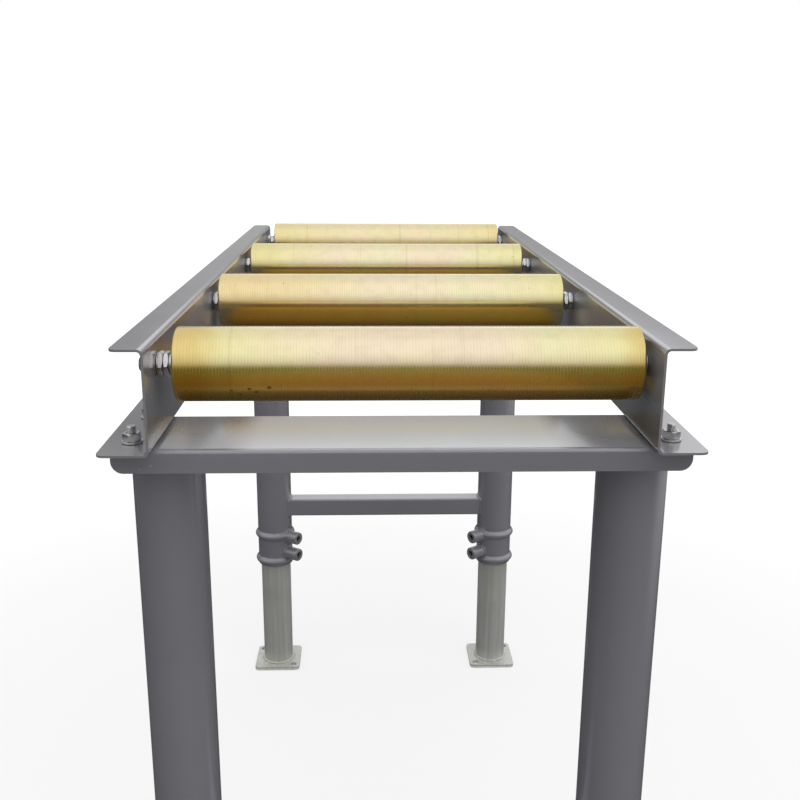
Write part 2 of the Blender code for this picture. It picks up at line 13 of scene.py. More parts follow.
import bmesh
import bpy
import numpy as np
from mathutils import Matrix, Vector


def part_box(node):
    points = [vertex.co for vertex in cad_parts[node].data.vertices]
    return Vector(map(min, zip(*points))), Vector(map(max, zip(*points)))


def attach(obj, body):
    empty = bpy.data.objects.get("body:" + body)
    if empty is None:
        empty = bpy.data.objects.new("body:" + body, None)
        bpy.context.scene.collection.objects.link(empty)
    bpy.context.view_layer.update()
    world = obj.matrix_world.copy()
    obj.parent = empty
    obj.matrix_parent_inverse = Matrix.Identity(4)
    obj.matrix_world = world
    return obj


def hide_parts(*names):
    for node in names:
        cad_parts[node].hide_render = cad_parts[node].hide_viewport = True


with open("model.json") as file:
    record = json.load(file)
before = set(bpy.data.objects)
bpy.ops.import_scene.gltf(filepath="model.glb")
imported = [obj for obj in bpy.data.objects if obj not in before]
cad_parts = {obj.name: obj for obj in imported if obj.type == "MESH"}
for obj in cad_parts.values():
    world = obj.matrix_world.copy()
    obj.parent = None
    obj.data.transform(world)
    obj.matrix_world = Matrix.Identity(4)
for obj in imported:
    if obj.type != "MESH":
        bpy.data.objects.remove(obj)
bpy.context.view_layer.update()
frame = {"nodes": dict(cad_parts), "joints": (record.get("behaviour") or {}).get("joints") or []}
joints = {joint["name"]: joint for joint in frame["joints"]}
MM = 0.001

# %% [markdown]
# ## Camera
#
# The picture was taken from just above the rollers, a little left of the middle line, looking along
# the conveyor. The place and the three angles come from fitting the roller ends and the rail edges.
# A camera looks along its own minus Z, so the matrix is built from its right, up and back directions,
# which is easier to follow than three Euler angles.

# %% Camera
CAMERA_PLACE = np.array([-0.02815, -1.22491, 0.95081])
YAW, PITCH, ROLL = 0.0328, 0.2662, 0.0054
FOCAL_PIXELS, IMAGE_PIXELS, SENSOR_MM = 988.54, 800, 36.0


def camera_axes(yaw, pitch, roll):
    """Right, up and forward: yaw turns forward to +X, pitch turns it down, roll turns the other two."""
    ahead = np.array([math.sin(yaw) * math.cos(pitch), math.cos(yaw) * math.cos(pitch), -math.sin(pitch)])
    right = np.array([math.cos(yaw), -math.sin(yaw), 0.0])
    up = np.cross(right, ahead)
    return right * math.cos(roll) + up * math.sin(roll), up * math.cos(roll) - right * math.sin(roll), ahead


def add_object(name, data):
    """A new object, linked into the scene."""
    made = bpy.data.objects.new(name, data)
    bpy.context.scene.collection.objects.link(made)
    return made


def aim(thing, right, up, back, place):
    """Moves an object to a place and turns its X, Y and Z to right, up and back."""
    pose = np.eye(4)
    pose[:3] = np.column_stack([right, up, back, place])
    thing.matrix_world = pose.T.tolist()


camera = add_object("camera", bpy.data.cameras.new("camera"))
camera.data.sensor_width = SENSOR_MM
camera.data.lens = FOCAL_PIXELS / IMAGE_PIXELS * SENSOR_MM
right, up, ahead = camera_axes(YAW, PITCH, ROLL)
aim(camera, right, up, -ahead, CAMERA_PLACE)
bpy.context.scene.camera = camera
print("lens %.2f mm" % camera.data.lens)

# %% [markdown]
# ## Shader maths
#
# A finish is a formula over the surface: a base colour, plus dust, plus grooves. Wiring nodes by hand
# hides that formula, so one small class wraps an output socket and lets Python's own operators add
# the Math nodes. Anything else, such as a noise or a colour mix, comes from its `node` method.

# %% A socket that can be calculated with


class Wire:
    """One output socket of a node tree; arithmetic on it adds Math nodes."""

    def __init__(self, tree, socket=None):
        self.tree, self.socket = tree, socket

    def node(self, kind, settings=None, inputs=None, output=0):
        """Adds a node, sets its settings, then fills its sockets with values or links."""
        made = self.tree.nodes.new(kind)
        for key, value in (settings or {}).items():
            setattr(made, key, value)
        for key, value in (inputs or {}).items():
            if isinstance(value, Wire):
                value.feed(made.inputs[key])
            else:
                made.inputs[key].default_value = value
        return Wire(self.tree, made.outputs[output])

    def feed(self, target):
        """Links this value to an input socket."""
        self.tree.links.new(self.socket, target)

    def math(self, operation, *values):
        """A Math node, named by its operation, on numbers or wires."""
        return self.node("ShaderNodeMath", {"operation": operation}, dict(enumerate(values)))

    def __add__(self, other):
        return self.math("ADD", self, other)

    def __sub__(self, other):
        return self.math("SUBTRACT", self, other)

    def __rsub__(self, other):
        return self.math("SUBTRACT", other, self)

    def __mul__(self, other):
        return self.math("MULTIPLY", self, other)

    # A sum or a product is the same in either order
    __radd__, __rmul__ = __add__, __mul__

    def __abs__(self):
        return self.math("ABSOLUTE", self)

    def step(self, low, high):
        """0 below low, 1 above high and a smooth rise between them."""
        limits = {"Value": self, "From Min": low, "From Max": high}
        return self.node("ShaderNodeMapRange", {"interpolation_type": "SMOOTHSTEP"}, limits)

    def band(self, rise, fall):
        """0, then 1 after the rise, then 0 again after the fall; each is a pair of limits for step."""
        return self.step(*rise) * (1 - self.step(*fall))

    def mix(self, first, second):
        """A colour that goes from the first to the second as this value goes from 0 to 1.

        Sockets 0, 6 and 7 of a Mix node are its factor and two colours, and output 2 is their mix.
        """
        return self.node("ShaderNodeMix", {"data_type": "RGBA"}, {0: self, 6: first, 7: second}, 2)

    def place(self, kind="Object"):
        """Object coordinates, or another output of Texture Coordinate."""
        return self.node("ShaderNodeTexCoord", output=kind)

    def noise(self, vector, scale, detail=2.0):
        """Soft random values about 0.5; scale is patches per metre."""
        sockets = {"Vector": vector, "Scale": scale, "Detail": detail}
        return self.node("ShaderNodeTexNoise", None, sockets)

    def streaks(self, vector, scales, detail=2.0):
        """Noise with its own number of patches per metre along each axis."""
        scaled = self.node("ShaderNodeVectorMath", {"operation": "MULTIPLY"}, {0: vector, 1: scales})
        return self.noise(scaled, 1.0, detail)

    def axis(self, vector, which):
        """X, Y or Z of a vector, as which is 0, 1 or 2."""
        return self.node("ShaderNodeSeparateXYZ", None, {0: vector}, which)

    def bump(self, height, strength, distance):
        """A normal that follows the height, which rises by distance, in metres, from 0 to 1."""
        sockets = {"Strength": strength, "Distance": distance, "Height": height}
        return self.node("ShaderNodeBump", None, sockets)


print("a wire can:", [name for name in vars(Wire) if not name.startswith("_")])

# %% A finish for a slot


def tone(red, green, blue):
    """A linear colour as a socket takes it."""
    return (red, green, blue, 1.0)


def finish(name, recipe, **fixed):
    """A Principled material for a slot: recipe gives what varies over the surface, fixed what doesn't."""
    material = bpy.data.materials.new(name)
    material.use_nodes = True
    shader = material.node_tree.nodes["Principled BSDF"]
    w = Wire(material.node_tree)
    for socket, value in recipe(w, w.place()).items():
        value.feed(shader.inputs[socket])
    for socket, value in fixed.items():
        shader.inputs[socket.replace("_", " ")].default_value = value
    material["slot"] = name
    material.name = f"{name}_finish"
    print("finish:", name, len(w.tree.nodes), "nodes")
    return material


# %% [markdown]
# ## Grey paint
#
# Rails, crossbars and legs wear a grey enamel with a slightly violet cast under a clear coat. Metal
# flakes in it make it mirror more than plain enamel does, so it is set partly metallic: faces turned to
# the sky come out light and faces turned to the floor dark. It was sprayed, so it has a very fine
# orange-peel skin. Workshop dust dulls it in soft patches. The crossbar tops carry a pale layer that is
# partly settled dust and partly a painted sheen of the bright sky. It fades before the bar ends, which is
# painted shade where the bar would mirror the dark webs. Oil mist has taken the gloss off the rails'
# inner faces, most of all behind the first roller. Hairline rubs run along the rails where stock slides
# past. All of it is a formula on Object coordinates, which stay put on the steel when a joint moves.

# %% Grey paint
# The third colour is a pale settled dust. It also paints the sheen of the crossbar tops.
ENAMEL, DULLED, TOP_DUST_AND_SHEEN = tone(0.252, 0.250, 0.278), tone(0.274, 0.272, 0.296), tone(0.62, 0.64, 0.68)
RUBBED = tone(0.40, 0.395, 0.40)
BAR_TOP_RISE, BAR_TOP_FALL, BAR_TOP_ENDS = (0.7058, 0.7069), (0.7074, 0.7080), (0.115, 0.145)
WEB_INNER, WEB_OUTER = 196.5 * MM, 198.5 * MM
WEB_RISE, WEB_FALL = (WEB_INNER - 1 * MM, WEB_INNER - 0.3 * MM), (WEB_INNER + 0.7 * MM, WEB_OUTER)
MIST_RISE, MIST_FALL = (0.712, 0.718), (0.785, 0.790)
PAST_FIRST_ROLLER, RIGHT_SIDE, OVER_BAR = (-0.38, -0.30), (0, 0.1), (0.738, 0.750)


def misted(w, place):
    """1 on the webs' inner faces past the first roller and, on the right one, beside that roller."""
    across, along, height = (w.axis(place, k) for k in range(3))
    inside = abs(across).band(WEB_RISE, WEB_FALL) * height.band(MIST_RISE, MIST_FALL)
    beside = across.step(*RIGHT_SIDE) * height.step(*OVER_BAR)
    return inside * w.math("MAXIMUM", along.step(*PAST_FIRST_ROLLER), beside)


def paint_recipe(w, place):
    """Enamel mixed with dust, then a pale top layer of dust and painted sheen, then rubs; that top layer and
    mist take off the coat.
    """
    dust = w.noise(place, 7.0, 5.0).step(0.30, 0.75)
    peel = w.noise(place, 520.0, 1.0)
    rubs = w.streaks(place, (420.0, 5.0, 420.0)).step(0.64, 0.76)
    worn = rubs * w.noise(place, 14.0, 3.0).step(0.50, 0.70)
    from_middle = abs(w.axis(place, 0))
    # Painted sheen: the pale top layer stands partly for settled dust and partly for the sky's bright
    # reflection on the crossbar tops. Fading it before the ends paints the shade of the mirrored webs.
    top_dust_and_sheen = w.axis(place, 2).band(BAR_TOP_RISE, BAR_TOP_FALL) * (1 - from_middle.step(*BAR_TOP_ENDS))
    dust_and_sheen = top_dust_and_sheen.mix(dust.mix(ENAMEL, DULLED), TOP_DUST_AND_SHEEN)
    mist = misted(w, place)
    return {
        "Base Color": (worn * 0.06).mix(dust_and_sheen, RUBBED),
        "Roughness": 0.19 + dust * 0.08 + worn * 0.04 + mist * 0.12,
        "Coat Weight": 1 - top_dust_and_sheen * 0.5 - mist * 0.65,
        "Normal": w.bump(peel, 0.03, 0.2 * MM),
    }


grey_paint = finish("grey_paint", paint_recipe, Metallic=0.2, Coat_Roughness=0.16, Coat_IOR=1.55)

# %% [markdown]
# ## Yellow zinc
#
# The roller tubes were turned, zinc plated and yellow passivated. The passivation is a film thin
# enough to shift between straw, pink and green, so a slow noise moves the metal's tint between those
# three. Towards the tube's ends, where the bath drained, the film is thicker and turns gold, most of
# all on the first roller, and the second and the last roller came out of the bath more peach.
# The turning tool left shallow grooves two and a half millimetres apart that ring the tube, strongest
# on the first roller: a wave along X darkens each one and drives the bump. Small brown spots show
# where the film has let rust through.

# %% Zinc film and rust
PINK, STRAW, GREEN = tone(0.945, 0.795, 0.585), tone(0.94, 0.83, 0.565), tone(0.90, 0.86, 0.545)
DRAINED, GOLD, PEACH = tone(0.88, 0.82, 0.42), tone(0.79, 0.60, 0.225), tone(0.91, 0.70, 0.39)
AFTER_FIRST, AFTER_SECOND, AFTER_THIRD = (-0.4, -0.2), (-0.1, 0.1), (0.2, 0.4)
FILM_MIDDLE, FILM_WANDER = 0.012, 0.03
RUST_RAGGED, RUST_SQUEEZE = 0.8 * MM, np.array([0.9, 1, 1])
RUST = [
    (-0.1211, -0.4765, 0.7559, 1.7 * MM),
    (-0.1159, -0.4747, 0.7529, 2.2 * MM),
    (-0.1055, -0.4772, 0.7573, 2.2 * MM),
    (-0.1351, -0.4758, 0.7546, 1.3 * MM),
    (-0.1284, -0.4729, 0.7506, 1.5 * MM),
]


def film_colour(w, place, first):
    """Tints by noise, then by the distance from the tube's middle, then by the roller's row."""
    along, row = w.axis(place, 0), w.axis(place, 1)
    tint = w.noise(place, 16.0, 5.0)
    film = tint.step(0.50, 0.60).mix(tint.step(0.37, 0.48).mix(PINK, STRAW), GREEN)
    from_middle = abs(along - FILM_MIDDLE) + w.noise(place, 25.0, 2.0) * FILM_WANDER
    drained = from_middle.step(0.07, 0.205).mix(film, DRAINED)
    gold = from_middle.step(0.168, 0.192) * (0.2 + first * 0.65)
    second, last = row.band(AFTER_FIRST, AFTER_SECOND), row.step(*AFTER_THIRD)
    peach = second * (1 - along.step(-0.15, 0.02)) * 0.75 + last * 0.35
    return peach.mix(gold.mix(drained, GOLD), PEACH)


def rusted(w, place):
    """1 inside a spot, 0 outside: the distance to its middle, roughened by noise, against its radius."""
    ragged = w.noise(place, 700.0, 2.0) * (2 * RUST_RAGGED) - RUST_RAGGED
    squeezed = w.node("ShaderNodeVectorMath", {"operation": "MULTIPLY"}, {0: place, 1: tuple(RUST_SQUEEZE)})
    marks = []
    for *spot, radius in RUST:
        points = {0: squeezed, 1: tuple(RUST_SQUEEZE * spot)}
        away = w.node("ShaderNodeVectorMath", {"operation": "DISTANCE"}, points, "Value")
        marks.append(1 - (away + ragged).step(radius * 0.4, radius))
    return sum(marks[1:], marks[0])


print("rust spots:", len(RUST))

# %% Yellow zinc
GROOVE_PITCH, GROOVE_WANDER = 2.5 * MM, 2.5
GROOVE_BROWN, RUST_BROWN = tone(0.42, 0.30, 0.13), tone(0.22, 0.105, 0.035)


def zinc_recipe(w, place):
    """The film, darkened by grooves, scores and mottle, then by rust; grooves also drive the bump."""
    first = 1 - w.axis(place, 1).step(*AFTER_FIRST)
    wave = w.axis(place, 0) * (2 * math.pi / GROOVE_PITCH) + w.noise(place, 6.0, 1.0) * GROOVE_WANDER
    ridge = 0.5 + 0.5 * w.math("SINE", wave)
    lines = 1 - ridge.step(0.0, 0.45)
    fine = w.streaks(place, (1500.0, 0.5, 0.5), 3.0)
    dashes = w.streaks(place, (1100.0, 330.0, 330.0))
    scores = w.streaks(place, (70.0, 0.5, 0.5)).step(0.68, 0.72)
    mottle = w.noise(place, 85.0, 4.0).step(0.40, 0.72)
    cut = lines * (0.045 + dashes.step(0.4, 0.7) * 0.10) + fine.step(0.35, 0.75) * 0.04
    worn = (cut + scores * 0.12 + mottle * 0.09).mix(film_colour(w, place, first), GROOVE_BROWN)
    specks = w.noise(place, 190.0, 2.0).step(0.71, 0.77) * w.noise(place, 9.0, 1.0).step(0.55, 0.63)
    rust = specks + rusted(w, place)
    scuff = w.streaks(place, (26.0, 210.0, 210.0)).step(0.67, 0.73)
    relief = (ridge * 0.4 + fine * 0.12 + dashes * 0.7) * (0.6 + first * 0.4)
    return {
        "Base Color": (rust * 0.8).mix(worn, RUST_BROWN),
        "Roughness": 0.18 + lines * (0.04 + first * 0.08) + scuff * 0.08 + rust * 0.3,
        "Normal": w.bump(relief, 0.35, 0.06 * MM),
    }


yellow_zinc = finish("yellow_zinc", zinc_recipe, Metallic=1.0)

# %% [markdown]
# ## Bright zinc, galvanised tube, bearing steel and black oxide
#
# Nuts, bolts and washers have a cold bright zinc. The sliding tubes are hot galvanised and drawn, so
# their grey runs in faint upright streaks, dull and a little green. Bearings are ground steel, and the
# set screws are blacked in oil. They are all metals that differ in tint, streaks and roughness only.

# %% The other metals


def bright_recipe(w, place):
    """Two cold greys in a soft cloud, with a fine grain."""
    cloud = w.noise(place, 130.0, 3.0)
    colour = cloud.step(0.35, 0.7).mix(tone(0.71, 0.71, 0.70), tone(0.58, 0.60, 0.63))
    grain = w.noise(place, 1900.0, 1.0)
    return {"Base Color": colour, "Roughness": 0.18 + cloud * 0.16, "Normal": w.bump(grain, 0.12, 0.05 * MM)}


def galvanised_recipe(w, place):
    """Two greys in upright streaks, with aged patches over them."""
    streaks = w.streaks(place, (170.0, 170.0, 4.0), 3.0)
    patches = w.noise(place, 16.0, 3.0)
    colour = streaks.step(0.3, 0.7).mix(tone(0.56, 0.57, 0.535), tone(0.68, 0.695, 0.665))
    aged = (patches.step(0.45, 0.7) * 0.55).mix(colour, tone(0.54, 0.54, 0.47))
    return {"Base Color": aged, "Roughness": 0.36 + patches * 0.22, "Normal": w.bump(streaks, 0.15, 0.1 * MM)}


def bearing_recipe(w, place):
    """Two neutral greys in a fine cloud."""
    cloud = w.noise(place, 300.0, 2.0)
    colour = cloud.mix(tone(0.50, 0.50, 0.51), tone(0.62, 0.62, 0.62))
    return {"Base Color": colour, "Roughness": 0.2 + cloud * 0.1}


def black_recipe(w, place):
    """Two near blacks in a fine cloud."""
    cloud = w.noise(place, 240.0, 3.0)
    colour = cloud.mix(tone(0.018, 0.018, 0.02), tone(0.045, 0.042, 0.04))
    return {"Base Color": colour, "Roughness": 0.3 + cloud * 0.2}


bright_zinc = finish("bright_zinc", bright_recipe, Metallic=1.0)
galvanised_tube = finish("galvanised_tube", galvanised_recipe, Metallic=0.45)
bearing_steel = finish("bearing_steel", bearing_recipe, Metallic=1.0)
black_steel = finish("black_steel", black_recipe, Metallic=0.6)

# %% [markdown]
# ## From a grid of points to a piece
#
# Every new piece is a surface: a function of two parameters, worked out on a grid of points as one
# numpy array. A grid may close on itself sideways, as a tube does, or lengthwise, as a ring does, or
# take a flat cap at an end. A piece is a few such closed surfaces in one mesh. Weighted normals keep
# flat faces flat beside their small rounded edges.

# %% Grids and pieces
SOFT, CRISP = 32.0, 25.0


def surface(points, ring=True, loop=False, caps=(False, False)):
    """Vertices and faces of a grid: ring closes each row, loop each column, and caps close the ends."""
    rows, columns = points.shape[:2]
    i, j = np.meshgrid(
        np.arange(rows if loop else rows - 1), np.arange(columns if ring else columns - 1), indexing="ij"
    )
    up, over = (i + 1) % rows, (j + 1) % columns
    quads = np.stack([i * columns + j, up * columns + j, up * columns + over, i * columns + over], -1)
    faces = quads.reshape(-1, 4).tolist()
    ends = (list(range(columns)), list(range((rows - 1) * columns, rows * columns)))
    return points.reshape(-1, 3), faces + [end for end, capped in zip(ends, caps) if capped]


def build_mesh(name, surfaces):
    """One mesh from several surfaces; the faces of a closed one point outwards."""
    starts = np.cumsum([0] + [len(points) for points, _ in surfaces])
    faces = [[k + start for k in face] for (_, some), start in zip(surfaces, starts) for face in some]
    mesh = bpy.data.meshes.new(name)
    mesh.from_pydata(np.concatenate([points for points, _ in surfaces]), [], faces)
    work = bmesh.new()
    work.from_mesh(mesh)
    bmesh.ops.recalc_face_normals(work, faces=work.faces)
    work.to_mesh(mesh)
    work.free()
    mesh.shade_smooth()
    return mesh


def add_piece(name, mesh, material, body, node, sharp=SOFT):
    """Puts the mesh on a CAD body in place of a CAD node, which it hides, with the finish it is given.

    Edges that turn by more than sharp degrees stay sharp in the shading.
    """
    piece = add_object(name, mesh)
    mesh.materials.append(material)
    if sharp:
        mesh.set_sharp_from_angle(angle=math.radians(sharp))
        weighted = piece.modifiers.new("flat faces", "WEIGHTED_NORMAL")
        weighted.keep_sharp = True
    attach(piece, body)
    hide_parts(node)
    return piece


def add_solid(name, surfaces, *rest):
    """A piece from surfaces; rest is what add_piece takes after the mesh."""
    return add_piece(name, build_mesh(name, surfaces), *rest)


print("nodes to replace:", len(frame["nodes"]))

# %% [markdown]
# ## Profiles and turned forms
#
# Most of a conveyor is turned: rollers, tubes, bosses, washers. A turned form is a profile of
# (along, out) points carried round an axis. Real edges are never sharp, so a profile is written as a
# few corners and each corner is replaced by an arc of its own radius.

# %% Profiles
SQUARE = np.array([(1, 1), (-1, 1), (-1, -1), (1, -1)])


def unit(vectors):
    """Vectors of length 1, and a zero vector as it is."""
    return vectors / np.maximum(np.linalg.norm(vectors, axis=-1, keepdims=True), 1e-12)


def softened(corners, radii, steps=5):
    """A closed outline whose corners are arcs.

    At a corner with half angle h the arc's centre lies radius / sin(h) along the bisector, and its
    points turn evenly from one tangent point to the other. A radius of 0 keeps the corner.
    """
    corners = np.asarray(corners, float)
    radii = np.broadcast_to(np.asarray(radii, float), len(corners))
    back, ahead = unit(np.roll(corners, 1, 0) - corners), unit(np.roll(corners, -1, 0) - corners)
    half = np.arccos(np.clip((back * ahead).sum(1), -1, 1)) / 2
    centres = corners + unit(back + ahead) * (radii / np.sin(half))[:, None]
    first = corners + back * (radii / np.tan(half))[:, None] - centres
    last = corners + ahead * (radii / np.tan(half))[:, None] - centres
    turn = np.maximum(math.pi - 2 * half, 1e-9)[:, None, None]
    share = np.linspace(0, 1, steps + 1)[None, :, None]
    arcs = np.sin((1 - share) * turn) * first[:, None] + np.sin(share * turn) * last[:, None]
    arcs = centres[:, None] + arcs / np.sin(turn)
    rounded = [arc if radius else corner[None] for arc, radius, corner in zip(arcs, radii, corners)]
    return np.concatenate(rounded)


print("a square with round corners has", len(softened(SQUARE, 0.1)), "points")

# %% Turning
X, Y, Z = np.eye(3)


def cross_axes(axis):
    """Two directions square to the axis and to each other."""
    side = unit(np.cross(Z if abs(axis[2]) < 0.9 else Y, axis))
    return side, np.cross(axis, side)


def carried(along, out, axis, centre, turn):
    """Point (s, t) = centre + along * axis + out * (cos t * side + sin t * up)."""
    axis = unit(np.asarray(axis, float))
    side, up = cross_axes(axis)
    spoke = np.cos(turn)[:, None] * side + np.sin(turn)[:, None] * up
    return np.asarray(centre) + along[..., None] * axis + out[..., None] * spoke


def turns(steps):
    """Evenly spaced angles of one full turn."""
    return np.linspace(0, 2 * math.pi, steps, endpoint=False)


def ringed(rings, axis, centre, turn):
    """A grid of (along, out) rings round the axis; each value is one number or one for each angle."""
    along, out = (np.stack([ring[k] * np.ones(len(turn)) for ring in rings]) for k in range(2))
    return carried(along, out, axis, centre, turn)


def turned(profile, axis, centre, steps=96):
    """A profile of (along, out) points carried round the axis."""
    return ringed(profile, axis, centre, turns(steps))


def middle(node):
    """The middle of a CAD node's box."""
    return np.add(*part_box(node)) / 2


print("roller 1 is at", np.round(middle("roller_1"), 4))

# %% [markdown]
# ## Rollers
#
# Each roller is a length of tube with a pressed cup in either end that holds the bearing. The rim is
# rounded over, which shows as a pale ring at both ends. The whole roller is one closed profile: out
# along the tube, round the rim, down the recessed cup to the bearing seat, and back inside.

# %% Rollers
ROLLERS, ROLLER_STEPS = range(1, 5), 160
TUBE_WALL, CUP_WALL, CUP_LIP = 3 * MM, 2.5 * MM, 3 * MM
RECESS, SEAT_RADIUS, SEAT_DEPTH = 3.7 * MM, 16.3 * MM, 10.6 * MM


def roller_end(end, radius):
    """Corners of one end and their radii in millimetres, from the tube's inside round to its rim."""
    bore, face = radius - TUBE_WALL, end - RECESS
    back = face - SEAT_DEPTH - CUP_WALL
    corners = [
        (face - CUP_WALL, bore, 0.6),
        (face - CUP_WALL, SEAT_RADIUS + CUP_WALL, 1.2),
        (back, SEAT_RADIUS + CUP_WALL, 0.8),
        (back, SEAT_RADIUS - CUP_LIP, 0.4),
        (face - SEAT_DEPTH, SEAT_RADIUS - CUP_LIP, 0.4),
        (face - SEAT_DEPTH, SEAT_RADIUS, 0.2),
        (face, SEAT_RADIUS, 1.2),
        (face, bore, 0.5),
        (end, bore, 0.5),
        (end, radius, 1.8),
    ]
    return np.array(corners) * (1, 1, MM)


def mirrored_ring(end, centre, steps, arc_steps):
    """A surface turned round X from one end's corners and their mirror image."""
    corners = np.concatenate([end, end[::-1] * (-1, 1, 1)])
    profile = softened(corners[:, :2], corners[:, 2], arc_steps)
    return surface(turned(profile, X, centre, steps), loop=True)


for n in ROLLERS:
    low, high = map(np.array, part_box(f"roller_{n}"))
    half = (high - low) / 2
    tube = mirrored_ring(roller_end(half[0], half[2]), (low + high) / 2, ROLLER_STEPS, arc_steps=5)
    add_solid(f"roller_tube_{n}", [tube], yellow_zinc, f"roller_{n}_set", f"roller_{n}", CRISP)
print("rollers:", len(tube[1]), "faces each")

# %% [markdown]
# ## Bearings
#
# A shielded ball bearing shows two polished races with a dished sheet-metal shield between them. The
# balls never show, so the ring is one turned profile with a groove on each face.

# %% Bearings
SIDES, BEARING_STEPS = ("left", "right"), 64
BEARING_BORE, RACE, SHIELD, SHIELD_SLOPE = 6.3 * MM, 2.4 * MM, 0.8 * MM, 0.2 * MM


def bearing_face(half, bore, outside):
    """Corners of one face and their radii in millimetres, with the shield set in between the races."""
    inner, outer = bore + RACE, outside - RACE
    corners = [
        (half, bore, 0.5),
        (half, inner, 0.15),
        (half - SHIELD, inner + SHIELD_SLOPE, 0.1),
        (half - SHIELD * 0.6, (inner + outer) / 2, 2),
        (half - SHIELD, outer - SHIELD_SLOPE, 0.1),
        (half, outer, 0.15),
        (half, outside, 0.6),
    ]
    return np.array(corners) * (1, 1, MM)


for n in ROLLERS:
    for side in SIDES:
        low, high = map(np.array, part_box(f"bearing_{n}_{side}"))
        half = (high - low) / 2
        face = bearing_face(half[0], BEARING_BORE, half[2])
        ring = mirrored_ring(face, (low + high) / 2, BEARING_STEPS, arc_steps=3)
        add_solid(f"ball_bearing_{n}_{side}", [ring], bearing_steel, f"roller_{n}_set", f"bearing_{n}_{side}")
print("bearings:", len(ring[1]), "faces each")

# %% [markdown]
# ## Nuts and threads
#
# A hexagon nut is a hexagon prism whose corners are turned off by a cone on both faces, which gives
# the curved edges that everyone knows. In polar form that is simple: at the angle t the flat lies at
# half the width over cos(t), and the cone brings its edge down by the part that sticks out past a
# circle. A screw thread is a cylinder whose radius follows a V wave of (along / pitch - t / 2 pi).

# %% Nuts and threads
CONE = math.tan(math.radians(30))
FACE_SHARE, LIP_SHARE = 0.475, 0.06
THREAD_DEPTH, THREAD_FLAT, THREAD_POINT, THREAD_ROWS = 0.55, 0.125, 1.05, 8
EDGE = 0.3 * MM


def hex_reach(turn, flats):
    """Distance from the axis to a hexagon's side at each angle; a flat is centred on t = 0."""
    return flats / 2 / np.cos((turn + math.pi / 6) % (math.pi / 3) - math.pi / 6)


def hex_nut(flats, height, bore, axis, start, spin=0.0, steps=72):
    """Rings from the bore out over one face, down the flats and back over the other face."""
    turn = turns(steps)
    reach = hex_reach(turn, flats)
    circle, lip = FACE_SHARE * flats, LIP_SHARE * flats
    drop = np.maximum(reach - circle, 0) * CONE
    near = [(lip, bore), (0, bore + lip), (0, circle), (drop, reach)]
    far = [(height - along, out) for along, out in near[::-1]]
    return surface(ringed(near + far, axis, start, turn + spin), loop=True)


def screw_thread(radius, pitch, length, axis, start, steps=48):
    """Out = radius less a V groove with flat crest and root; the end is turned to a cone and capped."""
    turn = turns(steps)
    along = np.linspace(0, length, int(length / pitch * THREAD_ROWS) + 1)[:, None] * np.ones(steps)
    wave = np.abs(2 * ((along / pitch - turn / (2 * math.pi)) % 1.0) - 1)
    depth = THREAD_DEPTH * pitch
    groove = radius - depth * np.clip(wave * (1 + 2 * THREAD_FLAT) - THREAD_FLAT, 0, 1)
    point = depth * THREAD_POINT
    cone = radius - point + np.maximum(length - point - along, 0) * 2 + (length - along)
    out = np.minimum(groove, cone)
    out[-1] = out[-1].min()
    return surface(carried(along, out, axis, start, turn), caps=(True, True))


def rod(radius, length, axis, start, edge=EDGE, steps=48):
    """A plain round bar with eased ends."""
    profile = np.array([(0, radius - edge), (edge, radius), (length - edge, radius), (length, radius - edge)])
    return surface(turned(profile, axis, start, steps), caps=(True, True))


def tube_wall(bore, radius, ends, edges, axis, start, steps=64, arc_steps=3):
    """A tube between two places along an axis, with rounded edges; a short one is a washer."""
    near, far = ends
    corners = [(near, bore), (far, bore), (far, radius), (near, radius)]
    return surface(turned(softened(corners, edges, arc_steps), axis, start, steps), loop=True)


print("an M12 nut has", len(hex_nut(19 * MM, 10 * MM, 6 * MM, X, 0 * X)[1]), "faces")

# %% [markdown]
# ## Axles
#
# Each axle is a fixed shaft. Between the bearing and the web it carries a spacer sleeve, two thin nuts
# locked against each other and a washer, and its threaded ends pass through the web. The nuts were
# tightened by hand, so their corners point anywhere: each one's spin comes from a fixed list.

# %% Axles
AXLE_RADIUS, AXLE_PITCH, THREAD_LAP = 6 * MM, 1.75 * MM, 1 * MM
NUT_FLATS, OUTER_NUT_BORE = 19 * MM, 6.05 * MM
JAM_BORE, JAM_HEIGHT, JAM_GAP = 5.6 * MM, 4.4 * MM, 0.2 * MM
SPACER_RADIUS, SPACER_EDGE, JAM_WASHER, JAM_WASHER_RADIUS = 8 * MM, 0.1 * MM, 1 * MM, 9 * MM
SEAT_GAP = 0.3 * MM
SPINS = np.radians([30, 27, 23, 52, 33, 26, 35, 24, 29, 38, 22, 31, 36, 2, 28, 40])

